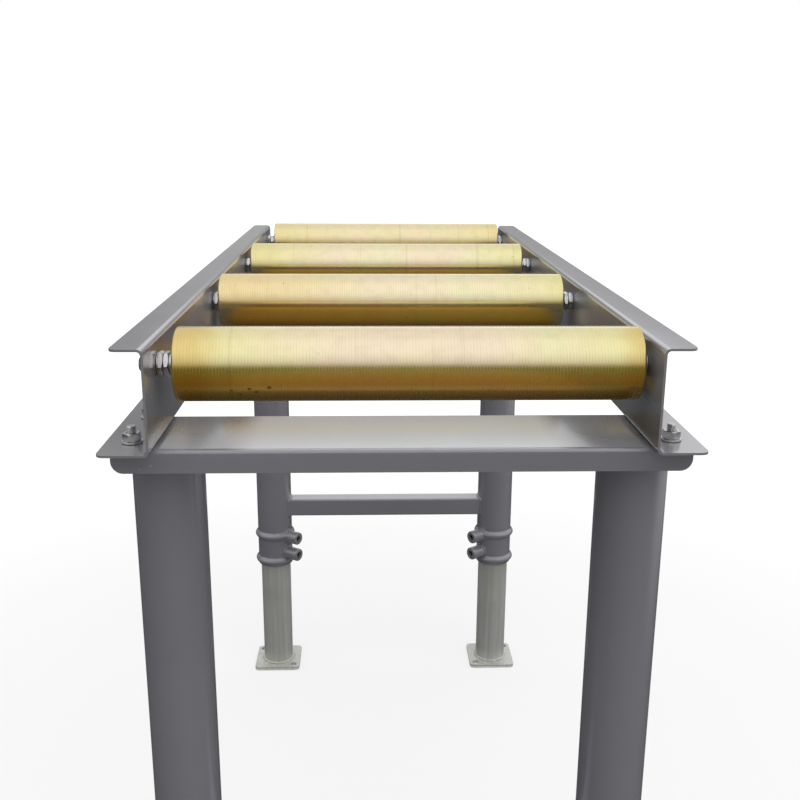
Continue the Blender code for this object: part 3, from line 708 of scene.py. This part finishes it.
for n in ROLLERS:
    low, high = map(np.array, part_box(f"axle_{n}"))
    centre, reach = (low + high) / 2, (high - low)[0] / 2
    parts = [rod(AXLE_RADIUS, 2 * WEB_INNER, X, centre - X * WEB_INNER)]
    for k, (side, sign) in enumerate(zip(SIDES, (-1, 1))):
        bearing = max(sign * corner[0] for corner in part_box(f"bearing_{n}_{side}"))
        sleeve, seat = bearing + SEAT_GAP, WEB_INNER - SEAT_GAP - JAM_WASHER
        jam = seat - 2 * JAM_HEIGHT - JAM_GAP
        lock = jam + JAM_HEIGHT + JAM_GAP
        spin = SPINS[4 * (n - 1) + 2 * k :]
        out = X * sign
        thread = reach - WEB_INNER + THREAD_LAP
        parts += [
            rod(SPACER_RADIUS, jam - sleeve, out, centre + out * sleeve, SPACER_EDGE),
            hex_nut(NUT_FLATS, JAM_HEIGHT, JAM_BORE, out, centre + out * jam, spin[0]),
            hex_nut(NUT_FLATS, JAM_HEIGHT, JAM_BORE, out, centre + out * lock, spin[1]),
            tube_wall(JAM_BORE, JAM_WASHER_RADIUS, (0, JAM_WASHER), EDGE, out, centre + out * seat),
            screw_thread(AXLE_RADIUS, AXLE_PITCH, thread, out, centre + out * (WEB_INNER - THREAD_LAP)),
        ]
    add_solid(f"fixed_axle_{n}", parts, bright_zinc, "frame", f"axle_{n}", CRISP)
    for k, side in enumerate(SIDES):
        low, high = map(np.array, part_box(f"axle_nut_{n}_{side}"))
        start = np.array([low[0], *((low + high) / 2)[1:]])
        spin = SPINS[(3 * n + 5 * k) % len(SPINS)]
        nut = hex_nut(NUT_FLATS, (high - low)[0], OUTER_NUT_BORE, X, start, spin)
        add_solid(f"outer_nut_{n}_{side}", [nut], bright_zinc, "frame", f"axle_nut_{n}_{side}", CRISP)
print("axles:", len(ROLLERS), "outer nuts:", len(ROLLERS) * len(SIDES))

# %% [markdown]
# ## Side rails and crossbars
#
# Rails and crossbars are folded from sheet, two and three millimetres thick. The natural way to draw
# a folded sheet is its middle surface: a section of straight runs and bends, carried along the length.
# Near the sheet's two long edges the length shrinks as a quarter circle does, which rounds its four
# corners in the same formula. Solidify then gives it its thickness, and Bevel breaks the cut edges.

# %% Folded sheet
BEND_STEPS, CORNER_STEPS = 10, 12


def distances(path):
    """How far along a path each of its points lies."""
    return np.concatenate([[0], np.cumsum(np.linalg.norm(np.diff(path, axis=0), axis=1))])


def resampled(path, s):
    """The points at the distances s along a path, between its own points."""
    return np.stack([np.interp(s, distances(path), column) for column in path.T], 1)


def folded_sheet(section, bend, half_length, corner_radius, steps=41):
    """Middle surface (s, t): the section's point at arc length s, carried t times the length left there.

    The length left is half_length less r - sqrt(r^2 - (r - e)^2) at a distance e < r from an edge.
    """
    closed = np.concatenate([section, section[[0, -1]].mean(0, keepdims=True)])
    radii = np.array([0] + [bend] * (len(section) - 2) + [0, 0])
    path = softened(closed, radii, BEND_STEPS)[:-1]
    run = distances(path)
    edge = corner_radius * (1 - np.cos(np.linspace(0, math.pi / 2, CORNER_STEPS)))
    s = np.unique(np.concatenate([run, edge, run[-1] - edge]).round(8))
    from_edge = np.clip(np.minimum(s, run[-1] - s), 0, corner_radius)
    left = half_length - corner_radius + np.sqrt(corner_radius**2 - (corner_radius - from_edge) ** 2)
    along = left[:, None] * np.linspace(-1, 1, steps)
    across, up = resampled(path, s).T[:, :, None] * np.ones(steps)
    return across, along, up


def ease(piece, width, segments, degrees):
    """Bevels every edge that turns by more than an angle."""
    bevel = piece.modifiers.new("eased edges", "BEVEL")
    bevel.width, bevel.segments, bevel.limit_method = width, segments, "ANGLE"
    bevel.angle_limit = math.radians(degrees)
    return bevel


def add_sheet(name, points, sheet, node):
    """A piece from a middle surface, with the sheet's thickness and broken edges."""
    piece = add_solid(name, [surface(points, ring=False)], grey_paint, "frame", node, None)
    solid = piece.modifiers.new("sheet", "SOLIDIFY")
    solid.thickness, solid.offset, solid.use_even_offset = sheet, 0.0, True
    ease(piece, width=0.45 * MM, segments=3, degrees=50).harden_normals = True


print("bend steps:", BEND_STEPS, "corner steps:", CORNER_STEPS)

# %% Side rails and crossbars
STANDS = ("front", "rear")
RAIL_SHEET, RAIL_BEND, RAIL_CORNER = 2 * MM, 4 * MM, 7 * MM
TOP_FLANGE, LOWER_FLANGE = 24.5 * MM, 40 * MM
BAR_SHEET, BAR_BEND, BAR_CORNER = 3 * MM, 2.8 * MM, 10 * MM

for side, sign in zip(SIDES, (-1, 1)):
    low, high = map(np.array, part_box(f"side_rail_{side}"))
    web = sign * (WEB_INNER + RAIL_SHEET / 2)
    tips = sign * (WEB_OUTER + TOP_FLANGE), sign * (WEB_OUTER + LOWER_FLANGE)
    top, bottom = high[2] - RAIL_SHEET / 2, low[2] + RAIL_SHEET / 2
    section = np.array([(tips[0], top), (web, top), (web, bottom), (tips[1], bottom)])
    x, y, z = folded_sheet(section, RAIL_BEND, (high - low)[1] / 2, RAIL_CORNER)
    add_sheet(f"folded_rail_{side}", np.stack([x, y, z], -1), RAIL_SHEET, f"side_rail_{side}")

for stand in STANDS:
    low, high = map(np.array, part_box(f"{stand}_crossbar"))
    centre, half = (low + high) / 2, (high - low) / 2 - BAR_SHEET / 2
    top, bottom = high[2] - BAR_SHEET / 2, low[2]
    section = np.array([(-half[1], bottom), (-half[1], top), (half[1], top), (half[1], bottom)])
    y, x, z = folded_sheet(section, BAR_BEND, (high - low)[0] / 2, BAR_CORNER)
    points = np.stack([x, y + centre[1], z], -1)
    add_sheet(f"folded_crossbar_{stand}", points, BAR_SHEET, f"{stand}_crossbar")
print("rails:", len(SIDES), "crossbars:", len(STANDS))

# %% [markdown]
# ## Rail bolts
#
# Two bolts hold each rail end to its crossbar, put in from below with the washer, nut and thread end
# on top, where the picture shows them. One turned profile could make all but the hexagons and the
# thread, so head, shank, washer, nut and thread are separate surfaces in one piece.

# %% Rail bolts
BOLT_FLATS, BOLT_RADIUS, BOLT_PITCH = 13 * MM, 4 * MM, 1.25 * MM
HEAD_HEIGHT, HEAD_BORE, SHANK_START = 5.3 * MM, 2 * MM, 0.6 * MM
NUT_HEIGHT, NUT_BORE, THREAD_END = 6.5 * MM, 3.7 * MM, 5.5 * MM
WASHER_RADIUS, WASHER_HEIGHT = 8.5 * MM, 1.6 * MM
LEGS = [f"{stand}_{side}" for stand in STANDS for side in SIDES]

for k, bolt in enumerate(f"bolt_{leg}_{end}" for leg in LEGS for end in ("near", "far")):
    low, high = map(np.array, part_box(f"rail_{bolt}"))
    foot = np.array([*((low + high) / 2)[:2], low[2]])
    nut_start = high[2] - low[2] - THREAD_END - NUT_HEIGHT
    seat = foot + Z * (nut_start - WASHER_HEIGHT)
    parts = [
        hex_nut(BOLT_FLATS, HEAD_HEIGHT, HEAD_BORE, Z, foot, SPINS[k]),
        rod(BOLT_RADIUS, nut_start, Z, foot + Z * SHANK_START),
        tube_wall(BOLT_RADIUS, WASHER_RADIUS, (0, WASHER_HEIGHT), EDGE, Z, seat),
        hex_nut(BOLT_FLATS, NUT_HEIGHT, NUT_BORE, Z, foot + Z * nut_start, SPINS[(5 * k + 3) % len(SPINS)]),
        screw_thread(BOLT_RADIUS, BOLT_PITCH, NUT_HEIGHT + THREAD_END, Z, foot + Z * nut_start),
    ]
    add_solid(bolt, parts, bright_zinc, "frame", f"rail_{bolt}", CRISP)
print("rail bolts:", k + 1)

# %% [markdown]
# ## Outer legs
#
# Each outer leg is a tube with two beads rolled round its lower end, so that it grips without
# flaring, and two bosses welded on for the clamp screws. A weld is a rope laid along the seam, with
# a ripple for each moment that the welder paused: here a circle carried along the curve where boss
# and tube meet.

# %% Welds
LEG_RADIUS, LEG_WALL = 30 * MM, 3.5 * MM
WELD_THIN, WELD_SWELL = 0.88, 0.24


def weld_bead(seam, outward, size, ripples, steps=12):
    """Point (s, t) = seam(s) + r(s) * (cos t * outward + sin t * across), r swelling at each ripple."""
    tangent = unit(np.roll(seam, -1, 0) - np.roll(seam, 1, 0))
    across = unit(np.cross(tangent, outward))
    outward = np.cross(across, tangent)
    phase = np.linspace(0, math.pi * ripples, len(seam), endpoint=False)
    thick = size * (WELD_THIN + WELD_SWELL * np.abs(np.sin(phase)))[:, None, None]
    t = turns(steps)[None, :, None]
    points = seam[:, None] + thick * (np.cos(t) * outward[:, None] + np.sin(t) * across[:, None])
    return surface(points, loop=True)


def ring_weld(level, radius, foot, size, ripples, steps):
    """A weld bead round an upright tube, at a level above its foot."""
    ring = turned(np.array([(level, radius)]), Z, foot, steps)[0]
    return weld_bead(ring, unit((ring - foot) * (1, 1, 0)), size, ripples)


def saddle(centre, axis, radius, steps=120):
    """Where a round boss meets the leg: on the boss's circle, out to the leg's surface."""
    side, up = cross_axes(axis)
    t = turns(steps)[:, None]
    spoke = np.cos(t) * side + np.sin(t) * up
    level = radius * spoke @ side
    return centre + np.sqrt(LEG_RADIUS**2 - level**2)[:, None] * axis + radius * spoke, spoke


print("leg tube: %.0f mm, wall %.1f mm" % (2 * LEG_RADIUS / MM, LEG_WALL / MM))

# %% Outer legs
BEADS, BEAD_RISE, BEAD_HALF = (8.5 * MM, 56 * MM), 4.5 * MM, 8 * MM
BEADED_LENGTH, BEAD_ROWS, BEAD_POWER = 70 * MM, 141, 1.35
TUBE_EDGE, TUBE_TOP = 0.5 * MM, 2 * MM
BOSS_RADIUS, BOSS_START, BOSS_END, SCREW_HOLE = 11 * MM, 27 * MM, 54 * MM, 5.3 * MM
BOSS_EDGES, BOSS_STEPS, BOSS_ARC_STEPS = np.array([0, 0.7, 2.2, 0]) * MM, 64, 5
BOSS_WELD, BOSS_RIPPLES = 2.2 * MM, 18
TOP_WELD, TOP_WELD_DOWN, TOP_RIPPLES, TOP_STEPS = 2.4 * MM, 1.2 * MM, 44, 160
PLACES = ("lower", "upper")


def leg_profile(length):
    """Closed profile: inside up, outside down, the outside swelling as a cosine at each bead."""
    height = np.concatenate([np.linspace(0, BEADED_LENGTH, BEAD_ROWS), [length - TUBE_TOP]])
    out = LEG_RADIUS * np.ones(len(height))
    for bead in BEADS:
        from_bead = np.clip((height - bead) / BEAD_HALF, -1, 1)
        out += BEAD_RISE * np.cos(from_bead * math.pi / 2) ** BEAD_POWER
    bore = LEG_RADIUS - LEG_WALL
    inside = [
        (0, bore + TUBE_EDGE),
        (TUBE_EDGE, bore),
        (length - TUBE_EDGE, bore),
        (length, bore + TUBE_EDGE),
        (length, LEG_RADIUS - TUBE_EDGE),
        (length - TUBE_EDGE, LEG_RADIUS),
    ]
    return np.concatenate([inside, np.stack([height, out], 1)[::-1]])


ends = (BOSS_START, BOSS_END)
for leg in LEGS:
    low, high = map(np.array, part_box(f"outer_leg_{leg}"))
    foot = np.array([*middle(f"inner_leg_{leg}")[:2], low[2]])
    length = high[2] - low[2]
    parts = [surface(turned(leg_profile(length), Z, foot), loop=True)]
    for place in PLACES:
        joint = joints[f"clamp_{leg}_{place}_turn"]
        axis = unit(np.array(joint["axis"], float))
        centre = np.array([*foot[:2], joint["pos_m"][2]])
        seam, outward = saddle(centre, axis, BOSS_RADIUS)
        parts += [
            tube_wall(SCREW_HOLE, BOSS_RADIUS, ends, BOSS_EDGES, axis, centre, BOSS_STEPS, BOSS_ARC_STEPS),
            weld_bead(seam, outward, BOSS_WELD, BOSS_RIPPLES),
        ]
    parts.append(ring_weld(length - TOP_WELD_DOWN, LEG_RADIUS, foot, TOP_WELD, TOP_RIPPLES, TOP_STEPS))
    add_solid(f"leg_tube_{leg}", parts, grey_paint, "frame", f"outer_leg_{leg}")
print("outer legs:", len(LEGS), "with", len(parts), "surfaces each")

# %% [markdown]
# ## Braces
#
# A square tube ties the two legs of a stand together. Its ends are coped, which means cut to the
# round of the leg: at the height and depth of each point of its outline the tube stops where the leg's
# circle is. The outline of a rounded square, carried between those two curves, is the whole tube.

# %% Braces
BRACE_HALF, BRACE_WALL, BRACE_CORNER, COPE_GAP = 15 * MM, 2 * MM, 3 * MM, 0.2 * MM
BRACE_WELD, BRACE_RIPPLES, BRACE_ARC_STEPS = 2.2 * MM, 22, 8


def outline_points(outline, count=96):
    """The closed outline with evenly spaced points, so that a cope follows the leg between corners."""
    closed = np.concatenate([outline, outline[:1]])
    return resampled(closed, np.linspace(0, distances(closed)[-1], count, endpoint=False))


def coped_tube(leg_x, centre):
    """Point (s, t): outline point t, at s from the left leg's surface to the right one's and back inside."""
    rows = []
    for half, corner in ((BRACE_HALF, BRACE_CORNER), (BRACE_HALF - BRACE_WALL, BRACE_CORNER - BRACE_WALL)):
        square = outline_points(softened(SQUARE * half, corner, BRACE_ARC_STEPS))
        stop = leg_x - np.sqrt((LEG_RADIUS + COPE_GAP) ** 2 - square[:, 0] ** 2)
        wall = np.stack([np.stack([end * stop, *square.T], 1) for end in (-1, 1)])
        rows.append(wall if not rows else wall[::-1])
    return centre + np.concatenate(rows)


for stand in STANDS:
    centre = middle(f"{stand}_brace")
    tube = coped_tube(middle(f"inner_leg_{stand}_right")[0], centre)
    parts = [surface(tube, loop=True)]
    for end in tube[:2]:
        parts.append(weld_bead(end, unit((end - centre) * (0, 1, 1)), BRACE_WELD, BRACE_RIPPLES))
    add_solid(f"square_brace_{stand}", parts, grey_paint, "frame", f"{stand}_brace")
print("braces:", len(STANDS))

# %% [markdown]
# ## Sliding legs and feet
#
# The inner tube slides in the leg and stands on a square foot plate with two anchor holes. A plate
# with holes is the one shape here that is easier to cut than to write as a grid, so the holes are
# Boolean cuts.

# %% Sliding legs and feet
INNER_RADIUS, INNER_WALL, INNER_EDGE, INNER_STEPS = 26 * MM, 2.5 * MM, 0.6 * MM, 96
FOOT_WELD, FOOT_WELD_UP, FOOT_RIPPLES, FOOT_STEPS = 2.6 * MM, 0.4 * MM, 36, 144
FOOT_CORNER, FOOT_ARC_STEPS = 8 * MM, 10
ANCHOR_RADIUS, ANCHOR_PLACE, ANCHOR_CUT = 5.5 * MM, 29 * MM, 20 * MM


def cut_out(blank, tools):
    """The blank's mesh less closed surfaces, with eased edges; the blank itself is removed."""
    cutter = add_object("cutter", build_mesh("cutter", tools))
    cut = blank.modifiers.new("holes", "BOOLEAN")
    cut.operation, cut.solver, cut.object = "DIFFERENCE", "EXACT", cutter
    ease(blank, width=0.6 * MM, segments=2, degrees=40)
    bpy.context.view_layer.update()
    shaped = bpy.data.meshes.new_from_object(blank.evaluated_get(bpy.context.evaluated_depsgraph_get()))
    bpy.data.objects.remove(blank)
    bpy.data.objects.remove(cutter)
    return shaped


for leg in LEGS:
    low, high = map(np.array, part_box(f"inner_leg_{leg}"))
    foot = np.array([*((low + high) / 2)[:2], low[2]])
    ends, bore = (0, high[2] - low[2]), INNER_RADIUS - INNER_WALL
    tube = tube_wall(bore, INNER_RADIUS, ends, INNER_EDGE, Z, foot, INNER_STEPS)
    seam = ring_weld(FOOT_WELD_UP, INNER_RADIUS, foot, FOOT_WELD, FOOT_RIPPLES, FOOT_STEPS)
    add_solid(f"slide_tube_{leg}", [tube, seam], galvanised_tube, f"leg_{leg}", f"inner_leg_{leg}")

    low, high = map(np.array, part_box(f"foot_plate_{leg}"))
    centre, half = (low + high) / 2, (high - low)[0] / 2
    square = softened(SQUARE * half, FOOT_CORNER, FOOT_ARC_STEPS) + centre[:2]
    plate = np.stack([np.column_stack([square, np.full(len(square), level)]) for level in (low[2], high[2])])
    blank = add_object("blank", build_mesh("blank", [surface(plate, caps=(True, True))]))
    diagonal = np.array([1 if leg.endswith("right") else -1, 1, 0]) * ANCHOR_PLACE
    below = centre - Z * ANCHOR_CUT / 2
    mesh = cut_out(blank, [rod(ANCHOR_RADIUS, ANCHOR_CUT, Z, below + end * diagonal) for end in (-1, 1)])
    mesh.name = f"base_plate_{leg}"
    add_piece(mesh.name, mesh, galvanised_tube, f"leg_{leg}", f"foot_plate_{leg}", CRISP)
print("sliding legs and feet:", len(LEGS))

# %% [markdown]
# ## Clamp screws
#
# Two set screws in each leg press on the inner tube and hold it at its height. A set screw is a turned
# bar whose outer end has a hexagon socket: the same hexagon formula as the nuts, turned inwards.

# %% Clamp screws
SCREW_RADIUS, SCREW_START, SCREW_END, SCREW_EDGE = 5 * MM, 26.3 * MM, 50 * MM, 0.8 * MM
POINT_RADIUS, POINT_LENGTH = 3.5 * MM, 1.5 * MM
SOCKET_FLATS, SOCKET_DEPTH, SOCKET_EDGE = 5 * MM, 6 * MM, 0.4 * MM


def set_screw(axis, centre, steps=72):
    """Rings from the point to the outer end, in over its face and down the hexagon socket."""
    turn = turns(steps)
    socket = hex_reach(turn, SOCKET_FLATS)
    rings = [
        (SCREW_START, POINT_RADIUS),
        (SCREW_START + POINT_LENGTH, SCREW_RADIUS),
        (SCREW_END - SCREW_EDGE, SCREW_RADIUS),
        (SCREW_END, SCREW_RADIUS - SCREW_EDGE),
        (SCREW_END, socket + SOCKET_EDGE),
        (SCREW_END - SOCKET_EDGE, socket),
        (SCREW_END - SOCKET_DEPTH, socket),
    ]
    return surface(ringed(rings, axis, centre, turn), caps=(True, True))


for leg in LEGS:
    for place in PLACES:
        joint = joints[f"clamp_{leg}_{place}_turn"]
        centre = np.array([*middle(f"inner_leg_{leg}")[:2], joint["pos_m"][2]])
        screw, body = set_screw(np.array(joint["axis"]), centre), f"clamp_{leg}_{place}"
        add_solid(f"set_screw_{leg}_{place}", [screw], black_steel, body, f"clamp_screw_{leg}_{place}", CRISP)
print("clamp screws:", len(LEGS) * len(PLACES))

# %% [markdown]
# ## Floor
#
# The conveyor stands on a pale floor that runs into a white background. Camera and reflections see the
# floor's own glow added to its colour, so it looks near white in the picture and still takes the
# conveyor's shadow, while the light that it throws back onto the paint stays modest.

# %% Floor
EVERYWHERE = ((-30, -30), (30, 30))
RAYS = ("Is Camera Ray", "Is Glossy Ray", "Is Transmission Ray")


def plane(name, corners, level, material):
    """A level rectangle between its near left and far right corners."""
    (left, near), (right, far) = corners
    outline = [(left, near), (right, near), (right, far), (left, far)]
    mesh = bpy.data.meshes.new(name)
    mesh.from_pydata([(x, y, level) for x, y in outline], [], [(0, 1, 2, 3)])
    mesh.materials.append(material)
    made = add_object(name, mesh)
    return made


def seen_by(w):
    """Whether a ray comes from the camera, and whether it comes from a reflection or through glass."""
    direct, glossy, through = (w.node("ShaderNodeLightPath", output=kind) for kind in RAYS)
    return direct, w.math("MAXIMUM", glossy, through)


def matt(name, grey):
    """A dull material, its Principled shader and a wire to add to it."""
    material = bpy.data.materials.new(name)
    material.use_nodes = True
    shader = material.node_tree.nodes["Principled BSDF"]
    shader.inputs["Base Color"].default_value = tone(grey, grey, grey)
    shader.inputs["Roughness"].default_value = 0.9
    shader.inputs["Specular IOR Level"].default_value = 0.0
    return material, shader, Wire(material.node_tree)


pale, shader, w = matt("pale_floor", 0.24)
away = w.node("ShaderNodeVectorMath", {"operation": "LENGTH"}, {0: w.place()}, "Value").step(0.7, 2.6)
direct, mirrored = seen_by(w)
shown = (direct + mirrored) * (0.70 + away * 0.22)
shown.mix(tone(0, 0, 0), tone(1, 1, 1)).feed(shader.inputs["Emission Color"])
shader.inputs["Emission Strength"].default_value = 1.0
plane("floor", EVERYWHERE, 0, pale)
print("floor:", EVERYWHERE)

# %% [markdown]
# ## What the metal mirrors
#
# Bright metal shows what is around it, and the dark half of each roller is what lies in front of and
# below it. Photographers lay dark cloth and boards there, and planes that only reflections see do the
# same: a grey cloth for the paint, a brown board in front of the first roller and level with the front
# crossbar, a brown strip just over that crossbar, and a golden strip in front of each other roller.
# The strips are clear from below and fade out at their ends, so that they show in the rollers and not
# as a hard line in the rails.

# %% Cloth, board and strips
BEFORE_ROLLERS, OVER_FRONT_BAR = ((-6, -14), (6, -0.485)), ((-0.2, -0.482), (0.2, -0.385))
CLOTH_LEVEL, BOARD_LEVEL, BAR_LEVEL, GOLD_LEVEL = 4 * MM, 0.706, 0.7085, 0.735
GOLD_HALF, GOLD_NEAR, GOLD_FAR = 0.2, 0.16, 0.015
BAR_ENDS, GOLD_ENDS = (-0.19, 0.1965, 0.006), (-0.188, 0.184, 0.014)


def reflected(name, tints, corners, level, cover=None):
    """A plane that only reflections see.

    Tints gives its colour by place. Cover, where there is one, gives how solid it is by place, and the
    plane is then clear from below as well.
    """
    material, shader, w = matt(name, 0.2)
    x, y = (w.axis(w.place(), k) for k in range(2))
    tints(x, y).feed(shader.inputs["Base Color"])
    if cover:
        seen = (1 - w.node("ShaderNodeNewGeometry", output="Backfacing")) * cover(x)
        layers = {0: seen, 1: w.node("ShaderNodeBsdfTransparent"), 2: Wire(w.tree, shader.outputs[0])}
        w.node("ShaderNodeMixShader", None, layers).feed(w.tree.nodes["Material Output"].inputs["Surface"])
    made = plane(name, corners, level, material)
    made.visible_camera = made.visible_diffuse = made.visible_shadow = made.visible_transmission = False


def cloth_tints(x, y):
    """Dark grey, and paler far to the right."""
    return (x.step(0.9, 2.0) * y.step(-1.2, -0.4)).mix(tone(0.075, 0.076, 0.08), tone(0.38, 0.38, 0.385))


def board_tints(x, y):
    """Olive, browner towards the rollers, paler along its far edge and darker beyond the rollers' ends."""
    brown = y.step(-0.75, -0.54).mix(tone(0.20, 0.165, 0.031), tone(0.215, 0.122, 0.029))
    lit = y.step(-0.515, -0.495).mix(brown, tone(0.27, 0.185, 0.075))
    return (abs(x).step(0.12, 0.175) * 0.34).mix(lit, tone(0.02, 0.02, 0.01))


def bar_tints(x, y):
    """Brown, and greyer towards the back."""
    return y.step(-0.48, -0.43).mix(tone(0.15, 0.095, 0.03), tone(0.11, 0.09, 0.06))


def gold_tints(roller_y):
    """Golden brown, and darker towards the roller."""
    near, far = tone(0.29, 0.185, 0.05), tone(0.20, 0.132, 0.035)
    return lambda x, y: (y - roller_y).step(-0.13, -0.06).mix(near, far)


def between(low, high, soft):
    """A cover that fades out over the width soft inside two bounds of x."""
    return lambda x: x.band((low, low + soft), (high - soft, high))


reflected("dark_cloth", cloth_tints, EVERYWHERE, CLOTH_LEVEL)
reflected("brown_board", board_tints, BEFORE_ROLLERS, BOARD_LEVEL)
reflected("bar_strip", bar_tints, OVER_FRONT_BAR, BAR_LEVEL, between(*BAR_ENDS))
for n in ROLLERS[1:]:
    roller_y = middle(f"roller_{n}")[1]
    corners = ((-GOLD_HALF, roller_y - GOLD_NEAR), (GOLD_HALF, roller_y - GOLD_FAR))
    reflected(f"gold_strip_{n}", gold_tints(roller_y), corners, GOLD_LEVEL, between(*GOLD_ENDS))
print("planes that only reflections see:", 3 + len(ROLLERS[1:]))

# %% [markdown]
# ## Light
#
# Soft light comes from above, a little from the right, so the tops of the rails are light and their
# fronts are dark. The world plays three parts: the camera sees plain white, reflections see a room that
# is bright overhead and greyer towards the horizon, and the paint is lit by a soft sky.

# %% Room and sky


def far_room(x, z):
    """Past the conveyor: a dim wall, a bright band over it that is fainter on the left, and the ceiling."""
    right = x.step(-0.2, 0.2)
    wall = 0.21 + right * 0.10 + (1 - z.step(0.08, 0.2)) * (0.26 - right * 0.26)
    bright = z.step(0.21, 0.28) * (0.08 + x.step(-0.24, -0.1) * 0.92)
    high = z.step(0.33, 0.5)
    return (wall + (1.2 - wall) * bright) * (1 - high) + (0.82 + z.step(0.6, 0.95) * 0.07) * high


def near_room(z):
    """On the camera's side: dark at the horizon and brighter upwards."""
    return 0.23 + z.step(0.0, 0.26) * 0.45 + z.step(0.15, 0.8) * 0.32


def sky_light(x, y, z):
    """A sky that brightens upwards, and a glow low on the near right."""
    from_right = (x * 0.66 - y * 0.75).step(0.05, 0.95)
    return 0.06 + z.step(0.1, 0.9) * 1.25 + from_right * (1 - z.step(0.05, 0.35)) * 2.15


world = bpy.data.worlds.new("studio")
bpy.context.scene.world = world
world.use_nodes = True
w = Wire(world.node_tree)
x, y, z = (w.axis(w.place("Generated"), k) for k in range(3))
direct, mirrored = seen_by(w)
far = y.step(-0.2, 0.3)
room = near_room(z) * (1 - far) + far_room(x, z) * far
warm = mirrored * (1 - far) * (1 - z.step(0.1, 0.4))
background = world.node_tree.nodes["Background"]
warm.mix(tone(1, 1, 1), tone(1, 0.89, 0.68)).feed(background.inputs["Color"])
strength = direct + mirrored * room + (1 - direct - mirrored) * sky_light(x, y, z)
strength.feed(background.inputs["Strength"])
bpy.context.scene.view_settings.view_transform = "Standard"
print("world:", len(w.tree.nodes), "nodes")

# %% Overhead lamp
LAMP_PLACE, LAMP_TARGET, LAMP_SIZE, LAMP_WATTS = np.array([0.7, -0.9, 3.0]), (0, 0, 0.7), 2.0, 14
lamp = bpy.data.lights.new("overhead", "AREA")
lamp.shape, lamp.size, lamp.energy = "SQUARE", LAMP_SIZE, LAMP_WATTS
overhead = add_object("overhead", lamp)
back = unit(LAMP_PLACE - LAMP_TARGET)
aim(overhead, *cross_axes(back), back, LAMP_PLACE)
overhead.visible_glossy = False
print("lamp:", LAMP_WATTS, "W,", LAMP_SIZE, "m square")
